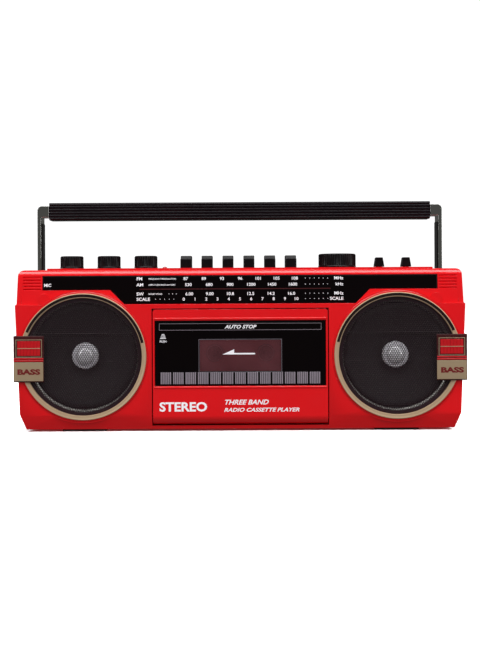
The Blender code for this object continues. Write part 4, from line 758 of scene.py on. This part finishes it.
def badge(side):
    """The badge's body, then outline, window, line, ridges, plate and word."""
    low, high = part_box("bass_badge_" + side)
    body = cad_shape("bass_badge_" + side)
    for vert in body.vertices:
        if vert.co.y < low.y + 0.1 * MM:
            vert.co.y += LAYERS
    base = finer("bass_badge_" + side, "maroon", 0.35 * MM, 2, body)
    front, left, right = low.y + LAYERS, low.x, high.x
    sign = -1 if side == "left" else 1
    inner, outer = sorted((left, right), key=abs)
    x0, x1 = sorted((inner + sign * 1.6 * MM, outer - sign * 1.9 * MM))
    upper = high.z - BAND
    lower = upper - WINDOW_HEIGHT
    outline = [(x0, upper - LINE, x1, upper, 0.35), (x0, lower - LINE, x1, lower, 0.35),
               (x0, lower, x0 + LINE, upper - LINE, 0.35), (x1 - LINE, lower, x1, upper - LINE, 0.35)]
    badge_layer("badge_outline", side, front, "gold plate", outline, 0.08 * MM)
    rib_x0, rib_x1 = x0 + 1.3 * MM, x1 - 1.3 * MM
    pitch = (rib_x1 - rib_x0) / RIBS_ACROSS
    rib_top, rib_bottom = upper - 1.2 * MM, lower + 0.9 * MM
    ribs = [(rib_x0 + i * pitch + RIB_GAP, rib_bottom, rib_x0 + (i + 1) * pitch - RIB_GAP, rib_top, RIB_RISE)
            for i in range(RIBS_ACROSS)]
    ribs.append((rib_x0, rib_bottom, rib_x1, rib_top, 0.08))
    badge_layer("badge_window", side, front, "badge red", ribs, 0.3 * MM)
    centre_z = (rib_top + rib_bottom) / 2
    centre_line = (rib_x0, centre_z - 0.25 * MM, rib_x1, centre_z + 0.25 * MM, 0.5)
    badge_layer("badge_line", side, front, "gold plate", [centre_line], 0.08 * MM)
    ridges = [(left + 0.3 * MM, lower - 2.2 * MM, right - 0.5 * MM, lower - 0.9 * MM, 0.3),
              (left + 0.3 * MM, lower - 3.9 * MM, right - 0.5 * MM, lower - 2.7 * MM, 0.58)]
    badge_layer("badge_ridge", side, front, "badge red", ridges, 0.4 * MM)
    plate_top, plate_bottom = lower - 4.4 * MM, low.z + 0.9 * MM
    face = (left + 0.2 * MM, plate_bottom, right - 0.6 * MM, plate_top, 0.4)
    plate = badge_layer("badge_plate", side, front, "gold plate", [face], 0.25 * MM)
    words, cap_height = bmesh.new(), 4.2 * MM
    baseline = (plate_top + plate_bottom - cap_height) / 2
    words_into(words, "BASS", (left + right) / 2, baseline, cap_height, bold=0.3 * MM, wide=1.5)
    printed("badge_word_" + side, words, "red ink", "cabinet", plate)
    return base


for side in ("left", "right"):
    print("badge:", badge(side).name)

# %% [markdown]
# ## The cassette door
#
# The door has a red surround with a rolled ridge above the window and another below it. The
# window is black with a clear pane in the middle, through which the two hubs show. Under the pane
# runs a row of ribbed silver blocks. The pane and the black part are separate pieces, so that the
# pane alone lets light through.

# %% Door and its rolled ridges
door = finer("cassette_door", "red", 0.5 * MM, 3)
door_low, door_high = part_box("cassette_door")
window_low, window_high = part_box("door_window")
ridges, RIDGE, RIDGE_PAST = bmesh.new(), 1.6 * MM, 0.5 * MM


def ridge_into(work, z, proud):
    """Adds a half-round ridge as wide as the window, its middle at z."""
    turns = [i * math.pi / 8 for i in range(9)]
    arc = [(door_low.y - proud * math.sin(t), z + RIDGE / 2 * math.cos(t)) for t in turns]
    back = [(door_low.y + 0.3 * MM, z - RIDGE / 2), (door_low.y + 0.3 * MM, z + RIDGE / 2)]
    prism_into(work, arc + back, window_low.x - RIDGE_PAST, window_high.x + RIDGE_PAST, along="X")


ridge_into(ridges, window_low.z - 1.4 * MM, 0.45 * MM)
ridge_into(ridges, window_high.z + RIDGE, 0.35 * MM)
shown("door_ridges", mesh_from(ridges, "door_ridges", 50), "red", "door")

# %% Window with an opening, and the clear pane in it
PANE_HALF_WIDTH, PANE_BOTTOM, PANE_TOP = 33 * MM, 49 * MM, 74.3 * MM
PANE_THICKNESS, PANE_PLAY = 1.2 * MM, 0.1 * MM
plate = cad_shape("door_window")
opening = bmesh.new()
box_into(opening, (-PANE_HALF_WIDTH, window_low.y - MM, PANE_BOTTOM),
         (PANE_HALF_WIDTH, window_high.y + 3 * MM, PANE_TOP))
plate = carved(plate, mesh_from(opening, "opening"))
window = finer("door_window", "lens", 0.3 * MM, 2, plate)
glass = bmesh.new()
box_into(glass, (-PANE_HALF_WIDTH + PANE_PLAY, window_low.y + PANE_PLAY, PANE_BOTTOM + PANE_PLAY),
         (PANE_HALF_WIDTH - PANE_PLAY, window_low.y + PANE_THICKNESS, PANE_TOP - PANE_PLAY))
clear_pane = shown("clear_pane", mesh_from(glass, "clear_pane"), "clear", "door")
soften(clear_pane, 0.15 * MM)
print("window from z =", round(window_low.z / MM, 1), "to", round(window_high.z / MM, 1), "mm")

# %% A row of ribbed blocks under the pane
BLOCKS, BLOCK_PITCH, BLOCK_WIDTH, RIBS = 13, 10.1 * MM, 8.9 * MM, 6
RIB_HALF_WIDTH, RIB_PROUD, SEAT_PROUD = 0.46 * MM, 0.7 * MM, 0.12 * MM
blocks, seats = bmesh.new(), bmesh.new()
block_bottom, block_top = window_low.z + 1.2 * MM, window_low.z + 11 * MM
for number in range(BLOCKS):
    left = (number - BLOCKS / 2) * BLOCK_PITCH + (BLOCK_PITCH - BLOCK_WIDTH) / 2
    box_into(seats, (left, window_low.y - SEAT_PROUD, block_bottom),
             (left + BLOCK_WIDTH, window_low.y + 0.2 * MM, block_top))
    for rib in range(RIBS):
        x = left + (rib + 0.5) * BLOCK_WIDTH / RIBS
        box_into(blocks, (x - RIB_HALF_WIDTH, window_low.y - RIB_PROUD, block_bottom + 0.2 * MM),
                 (x + RIB_HALF_WIDTH, window_low.y, block_top - 0.2 * MM))
for name, work, finish, width in (("ribbed_blocks", blocks, "silver", 0.16),
                                  ("block_seats", seats, "dark", 0.08)):
    soften(shown(name, mesh_from(work, name), finish, "door"), width * MM)
print(BLOCKS * RIBS, "ribs in", BLOCKS, "blocks")

# %% Words, lines and the arrow on the door
white, grey, lower_words, arrow = (bmesh.new() for _ in range(4))
words_into(white, "AUTO STOP", 0, 83.8 * MM, 2.9 * MM, slant=0.3, bold=0.12 * MM, wide=1.15)
words_into(white, "PUSH", -62.8 * MM, 72.6 * MM, 1.7 * MM, bold=0.05 * MM)
words_into(lower_words, "STEREO", -66 * MM, 16.8 * MM, 7.4 * MM, "LEFT", bold=0.3 * MM, wide=1.1)
SMALL_WORDS_X = -13.6 * MM
words_into(lower_words, "RADIO CASSETTE PLAYER", SMALL_WORDS_X, 16.2 * MM, 3.1 * MM, "LEFT", slant=0.3,
           bold=0.1 * MM, wide=1.25)
words_into(lower_words, "THREE BAND", SMALL_WORDS_X, 22.0 * MM, 4.0 * MM, "LEFT", slant=0.3,
           bold=0.12 * MM, wide=1.1)
arrow_z, arrow_neck = 62.6 * MM, -5 * MM
prism_into(arrow, [(-14.6 * MM, arrow_z), (arrow_neck, arrow_z), (arrow_neck, arrow_z + 4.2 * MM)], -INK, INK)
bar_into(arrow, arrow_neck, arrow_z, 12 * MM, arrow_z + 1.2 * MM)
frame_into(grey, -66 * MM, 82.4 * MM, 66 * MM, 88 * MM, 0.35 * MM)
OUTLINE = 0.8 * MM
frame_into(grey, -PANE_HALF_WIDTH - OUTLINE, PANE_BOTTOM - OUTLINE,
           PANE_HALF_WIDTH + OUTLINE, PANE_TOP + OUTLINE, 0.3 * MM)
for step in range(4):  # the eject sign, a little stepped roof
    bar_into(white, (-65.2 + 0.45 * step) * MM, (75.6 + 1.1 * step) * MM,
             (-60.4 - 0.45 * step) * MM, (76.1 + 1.1 * step) * MM)
printed("window_words", white, "white ink", "door", window)
printed("window_lines", grey, "grey ink", "door", window)
printed("play_arrow", arrow, "white ink", "door", clear_pane)
printed("door_words", lower_words, "white ink", "door", door)
print("arrow at z =", round(arrow_z / MM, 1), "mm")

# %% [markdown]
# ## Knobs, keys, switches and lamp
#
# The rotary knobs are turned with fine flutes round the side, so that a finger can grip them, a
# small skirt at the foot and a white mark on top. The flutes come from a cosine added to the
# radius. The keys keep their CAD shape and get a few ribs across the top.

# %% Fluted knobs
FLUTE_DEPTH, TOP_DISH, SIDE_INSET = 0.2 * MM, 0.25 * MM, 0.25 * MM


def knob(node, flutes):
    """A turned cap with a skirt, flutes round the side and a white mark on top."""
    low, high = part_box(node)
    radius, centre = (high.x - low.x) / 2, middle(node)
    body = nodes[node]["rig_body"]
    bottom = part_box("front_cabinet")[1].z + 0.4 * MM
    tall = high.z - bottom

    def fluted(spread, reach, angle):
        on_side = 1.2 * MM < reach < tall - 0.9 * MM and spread > radius * 0.9
        return spread - (FLUTE_DEPTH * (1 + math.cos(flutes * angle)) if on_side else 0)

    foot = 0.05 * MM
    skirt, side_radius = radius - foot, radius - SIDE_INSET
    profile = [(0, foot), (skirt, foot), (skirt, 0.8 * MM), (side_radius - 0.1 * MM, 1.15 * MM),
               (side_radius, 1.3 * MM), (side_radius, tall - 1.2 * MM),
               (side_radius - 0.15 * MM, tall - 0.7 * MM), (side_radius - 0.6 * MM, tall - 0.2 * MM),
               (side_radius - 1.2 * MM, tall), (radius * 0.72, tall), (radius * 0.68, tall - TOP_DISH),
               (0, tall - TOP_DISH)]
    foot_centre = Vector((centre.x, centre.y, bottom))
    cap = turned(node, profile, foot_centre, "Z", steps=flutes * 8, shape=fluted, crease=40)
    piece = shown("shown_" + node, cap, "control", body, [node])
    mark = bmesh.new()
    box_into(mark, (centre.x - 0.45 * MM, centre.y - radius * 0.62, high.z - 0.3 * MM),
             (centre.x + 0.45 * MM, centre.y - radius * 0.2, high.z - 0.17 * MM))
    soften(shown(node + "_mark", mesh_from(mark, "mark"), "white ink", body), 0.05 * MM)
    return piece


SMALL_FLUTES, TUNING_FLUTES = 30, 48
for node in ("volume_knob", "tone_knob", "balance_knob"):
    print(knob(node, SMALL_FLUTES).name)
print(knob("tuning_knob", TUNING_FLUTES).name)

# %% Keys, slide switches and the power lamp
KEYS = ("record_key", "play_key", "rewind_key", "forward_key", "stop_key", "pause_key")
GRIP_ROWS, GRIP_PITCH, GRIP_WIDTH = 3, 1.5 * MM, 0.7 * MM
for node in KEYS:
    finer(node, "control", 0.6 * MM, 3)
    low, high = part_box(node)
    grips = bmesh.new()
    for number in range(GRIP_ROWS):
        y = low.y + 2.2 * MM + GRIP_PITCH * number
        box_into(grips, (low.x + 1.4 * MM, y, high.z - 3.2 * MM),
                 (high.x - 1.4 * MM, y + GRIP_WIDTH, high.z - 2.35 * MM))
    body = nodes[node]["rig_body"]
    soften(shown(node + "_grips", mesh_from(grips, "grips"), "control", body), 0.25 * MM)
    print(node, "top at z =", round(high.z / MM, 1), "mm")
for node in ("band_switch", "function_switch"):
    finer(node, "control", 0.5 * MM, 3)
finer("power_lamp", "lamp", 0.5 * MM, 3)

# %% [markdown]
# ## Handle, rear half, aerial and the works inside
#
# The handle is a chromed steel strap with a ribbed black grip. The rear half is grained black.
# All of these keep their CAD shape with rounded edges, and so do the parts that only show when a
# door is open, because a solid with sharp edges and one colour gives a model away. The reel hubs
# are turned afresh, as they show through the pane.

# %% Everything that keeps its CAD shape
KEPT = {  # node: finish, material slot, edge radius in mm
    "handle_bar": ("chrome", "chrome_bail", 0.7), "handle_grip": ("grip", "rear_plastic", 0.35),
    "handle_pivot_left": ("chrome", "steel_parts", 0.5), "handle_pivot_right": ("chrome", "steel_parts", 0.5),
    "rear_cabinet": ("black", "rear_plastic", 0.5), "battery_door": ("black", "rear_plastic", 0.4),
    "mains_inlet": ("dark", "dark_plastic", 0.3), "headphone_socket": ("dark", "dark_plastic", 0.25),
    "foot_left": ("rubber", "rubber_parts", 0.5), "foot_right": ("rubber", "rubber_parts", 0.5),
    "aerial_swivel": ("chrome", "chrome_bail", 0.2), "aerial_tube_outer": ("chrome", "chrome_bail", 0.15),
    "aerial_tube_middle": ("chrome", "chrome_bail", 0.1), "aerial_tip": ("chrome", "chrome_bail", 0.3),
    "speaker_frame_left": ("steel", "steel_parts", 0.2), "speaker_frame_right": ("steel", "steel_parts", 0.2),
    "deck_chassis": ("deck", "steel_parts", 0.2), "deck_motor": ("steel", "steel_parts", 0.4),
    "cassette_holder": ("holder", "dark_plastic", 0.3), "tape_head": ("steel", "steel_parts", 0.3),
    "pinch_roller": ("rubber", "rubber_parts", 0.3), "drive_belt": ("rubber", "rubber_parts", 0.1),
    "flywheel": ("steel", "steel_parts", 0.3), "motor_pulley": ("steel", "steel_parts", 0.15),
    "main_board": ("board", "board", 0.1), "tuning_capacitor": ("dark", "dark_plastic", 0.4),
    "ferrite_rod": ("ferrite", "ferrite", 0.4), "mains_transformer": ("winding", "copper_winding", 0.4),
}
for number in range(1, 5):
    KEPT[f"case_screw_{number}"] = ("steel", "steel_parts", 0.15)
for node, (finish, slot_name, radius) in KEPT.items():
    finer(node, finish, radius * MM)
print(len(KEPT), "nodes keep their CAD shape")

# %% Painted shade in the door's gap, a black backing behind the seam, and a painted dark reflection inside the handle's arms
# Black strips inside the gap round the door: painted shade, standing in for the dark of the deep gap.
gap_shade, inner, outer = bmesh.new(), 0.3 * MM, 0.75 * MM
gap_shade_y = (door_low.y + 0.9 * MM, door_high.y - MM)
for side in (-1, 1):
    near, far = sorted((door_high.x * side + side * inner, door_high.x * side + side * outer))
    box_into(gap_shade, (near, gap_shade_y[0], door_low.z + 9 * MM), (far, gap_shade_y[1], door_high.z + outer))
box_into(gap_shade, (door_low.x - outer, gap_shade_y[0], door_high.z + inner),
         (door_high.x + outer, gap_shade_y[1], door_high.z + outer))
soften(shown("door_lining", mesh_from(gap_shade, "door_lining"), "black", "cabinet"), 0.1 * MM)

seam, seam_y = bmesh.new(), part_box("rear_cabinet")[0].y
SEAM_X, SEAM_BOTTOM, SEAM_TOP = 150 * MM, 8 * MM, 126 * MM
for side in (-1, 1):
    box_into(seam, (SEAM_X * side - 0.5 * MM, seam_y - 1.8 * MM, SEAM_BOTTOM),
             (SEAM_X * side + 0.5 * MM, seam_y + 1.5 * MM, SEAM_TOP))
soften(shown("seam_backing", mesh_from(seam, "seam_backing"), "black", "cabinet"), 0.1 * MM)

bar_low, bar_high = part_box("handle_bar")
grip_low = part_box("handle_grip")[0]
# Black strips on the inner faces of the chrome arms: a painted dark reflection in the chrome.
arm_reflection_strips, ARM, ARM_REFLECTION_STRIP = bmesh.new(), 3.0 * MM, 0.6 * MM
for side in (-1, 1):
    arm = (bar_high.x - ARM) * side
    near, far = sorted((arm, arm - side * ARM_REFLECTION_STRIP))
    box_into(arm_reflection_strips, (near, bar_low.y + 5 * MM, middle("handle_pivot_left").z + 9 * MM),
             (far, bar_high.y - 0.8 * MM, grip_low.z - 2.5 * MM))
soften(shown("arm_linings", mesh_from(arm_reflection_strips, "arm_linings"), "control", "handle"), 0.1 * MM)
print("linings in place, arms from x =", round(arm / MM, 1), "mm")

# %% Reel hubs with three teeth
HUB_STANDS, SHAFT, STUB = 8.5 * MM, 2.9 * MM, 3.0 * MM


def hub(node):
    """A reel hub: a dished black table with a pale rim, and a stub with three teeth."""
    low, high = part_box(node)
    axis = middle(node)
    axis = Vector((axis.x, 0, axis.z))
    radius, table = (high.x - low.x) / 2, low.y + HUB_STANDS
    profile = [(0, high.y), (SHAFT, high.y), (SHAFT, table), (radius, table), (radius, table - 1.0 * MM),
               (radius - 0.5 * MM, table - 1.4 * MM), (radius - 2 * MM, table - 1.1 * MM),
               (STUB + 0.3 * MM, table - 1.1 * MM), (STUB, table - 1.6 * MM), (STUB, low.y + 1.2 * MM),
               (1.6 * MM, low.y), (0, low.y)]

    def toothed(spread, reach, angle):
        tooth = 1 + 0.28 * max(0.0, math.cos(3 * angle)) ** 8
        return spread * tooth if reach < table - 1.5 * MM and spread > 2 * MM else spread

    body = nodes[node]["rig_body"]
    rim = [(radius - 1.5 * MM, table - 1.0 * MM), (radius - 1.2 * MM, table - 1.6 * MM),
           (radius - 0.4 * MM, table - 1.6 * MM), (radius - 0.1 * MM, table - 1.0 * MM)]
    shown(node + "_rim", turned("rim", rim, axis, closed=True), "grey", body)
    return shown("shown_" + node, turned(node, profile, axis, steps=96, shape=toothed), "control", body,
                 [node])


for node in ("supply_spindle", "take_up_spindle"):
    print(hub(node).name)

left_over = [name for name, node in nodes.items() if not node.hide_render]
print("CAD nodes still shown as they are:", left_over)

# %% [markdown]
# ## Studio
#
# The floor is white paper out to the horizon, and the sky is white to the camera, so the object
# stands in plain white with only its soft shadow. The paper has a light of its own, which nothing
# else receives, and it is left out of reflections and of bounced light. A shop's product picture
# does the same with black cards: it keeps the red deep and the dial black. One wide soft light
# hangs above and ahead, two narrower ones stand at the sides for long soft streaks in the gloss,
# and a fourth fills in the back.

# %% Paper floor and the light that only it receives
FLOOR_REACH, PAPER_WASH, WASH_SPREAD = 30.0, 3.5, math.radians(120)
paper_roll = bpy.data.collections.new("paper_roll")
bpy.context.scene.collection.children.link(paper_roll)
finishes["paper"] = surface("studio_paper", seen(244, 244, 244), 0.85, 0.004, 0.00002, 0.02)
work = bmesh.new()
corners = ((-1, -1), (1, -1), (1, 1), (-1, 1))
work.faces.new([work.verts.new((x * FLOOR_REACH, y * FLOOR_REACH, 0)) for x, y in corners])
floor = bpy.data.objects.new("floor", mesh_from(work, "floor"))
floor.data.materials.append(finishes["paper"])
paper_roll.objects.link(floor)
floor.visible_glossy = floor.visible_diffuse = False

wash_data = bpy.data.lights.new("paper_wash", "SUN")
wash_data.energy, wash_data.angle = PAPER_WASH, WASH_SPREAD
wash = bpy.data.objects.new("paper_wash", wash_data)
bpy.context.scene.collection.objects.link(wash)
wash.location = (0, 0, 2)
wash.light_linking.receiver_collection = paper_roll
wash.visible_glossy = False
print("floor reaches", FLOOR_REACH, "m each way")

# %% Lights for the object
def soft_light(name, place, width, height, power):
    """An area light of this size in metres, aimed at the object's middle."""
    data = bpy.data.lights.new(name, "AREA")
    data.shape, data.size, data.size_y, data.energy = "RECTANGLE", width, height, power
    lamp = bpy.data.objects.new(name, data)
    bpy.context.scene.collection.objects.link(lamp)
    lamp.location = place
    lamp.rotation_euler = (body_middle - Vector(place)).to_track_quat("-Z", "Y").to_euler()
    return lamp


body_middle = (cad_box[0] + cad_box[1]) / 2
soft_light("overhead", (0, -0.45, 1.35), 1.8, 0.9, 27)
soft_light("front_left", (-1.3, -1.2, 0.9), 0.5, 1.3, 11)
soft_light("front_right", (1.4, -1.05, 0.8), 0.5, 1.3, 12)
soft_light("rear_fill", (0.5, 1.7, 0.9), 1.2, 0.8, 14).visible_glossy = False

# %% A sky that is white to look at, grey to light with and dark in the gloss
TO_THE_EYE, TO_THE_OBJECT, IN_THE_GLOSS = (1.1, 1.1, 1.1, 1), (0.34, 0.33, 0.34, 1), (0.10, 0.10, 0.095, 1)
world = bpy.data.worlds.new("studio")
bpy.context.scene.world = world
world.use_nodes = True
sky = Wire(world.node_tree)
in_gloss = sky.node("ShaderNodeLightPath", output="Is Glossy Ray")
seen_direct = sky.node("ShaderNodeLightPath", output="Is Camera Ray")
shade = blended(seen_direct, blended(in_gloss, TO_THE_OBJECT, IN_THE_GLOSS), TO_THE_EYE)
glow = sky.node("ShaderNodeBackground", inputs={"Color": shade, "Strength": 1.0})
world.node_tree.links.new(glow.socket, world.node_tree.nodes["World Output"].inputs["Surface"])
print("sky from", len(world.node_tree.nodes), "nodes")

# %% Camera, straight on and a little above the middle
FRONT_SPAN, STAND_OFF, SENSOR = 0.390, 0.900, 36.0
EYE_HEIGHT, FRAME_SHIFT, TILT = 0.115, -0.0813, math.radians(0.3)
camera_data = bpy.data.cameras.new("camera")
camera_data.sensor_fit, camera_data.sensor_width = "HORIZONTAL", SENSOR
camera_data.lens = SENSOR * STAND_OFF / FRONT_SPAN
camera_data.shift_y = FRAME_SHIFT
camera = bpy.data.objects.new("camera", camera_data)
bpy.context.scene.collection.objects.link(camera)
camera.location = (0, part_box("front_cabinet")[0].y - STAND_OFF, EYE_HEIGHT)
camera.rotation_euler = (math.pi / 2, TILT, 0)
bpy.context.scene.camera = camera
bpy.context.scene.view_settings.view_transform = "Standard"
print("camera lens", round(camera_data.lens, 1), "mm")
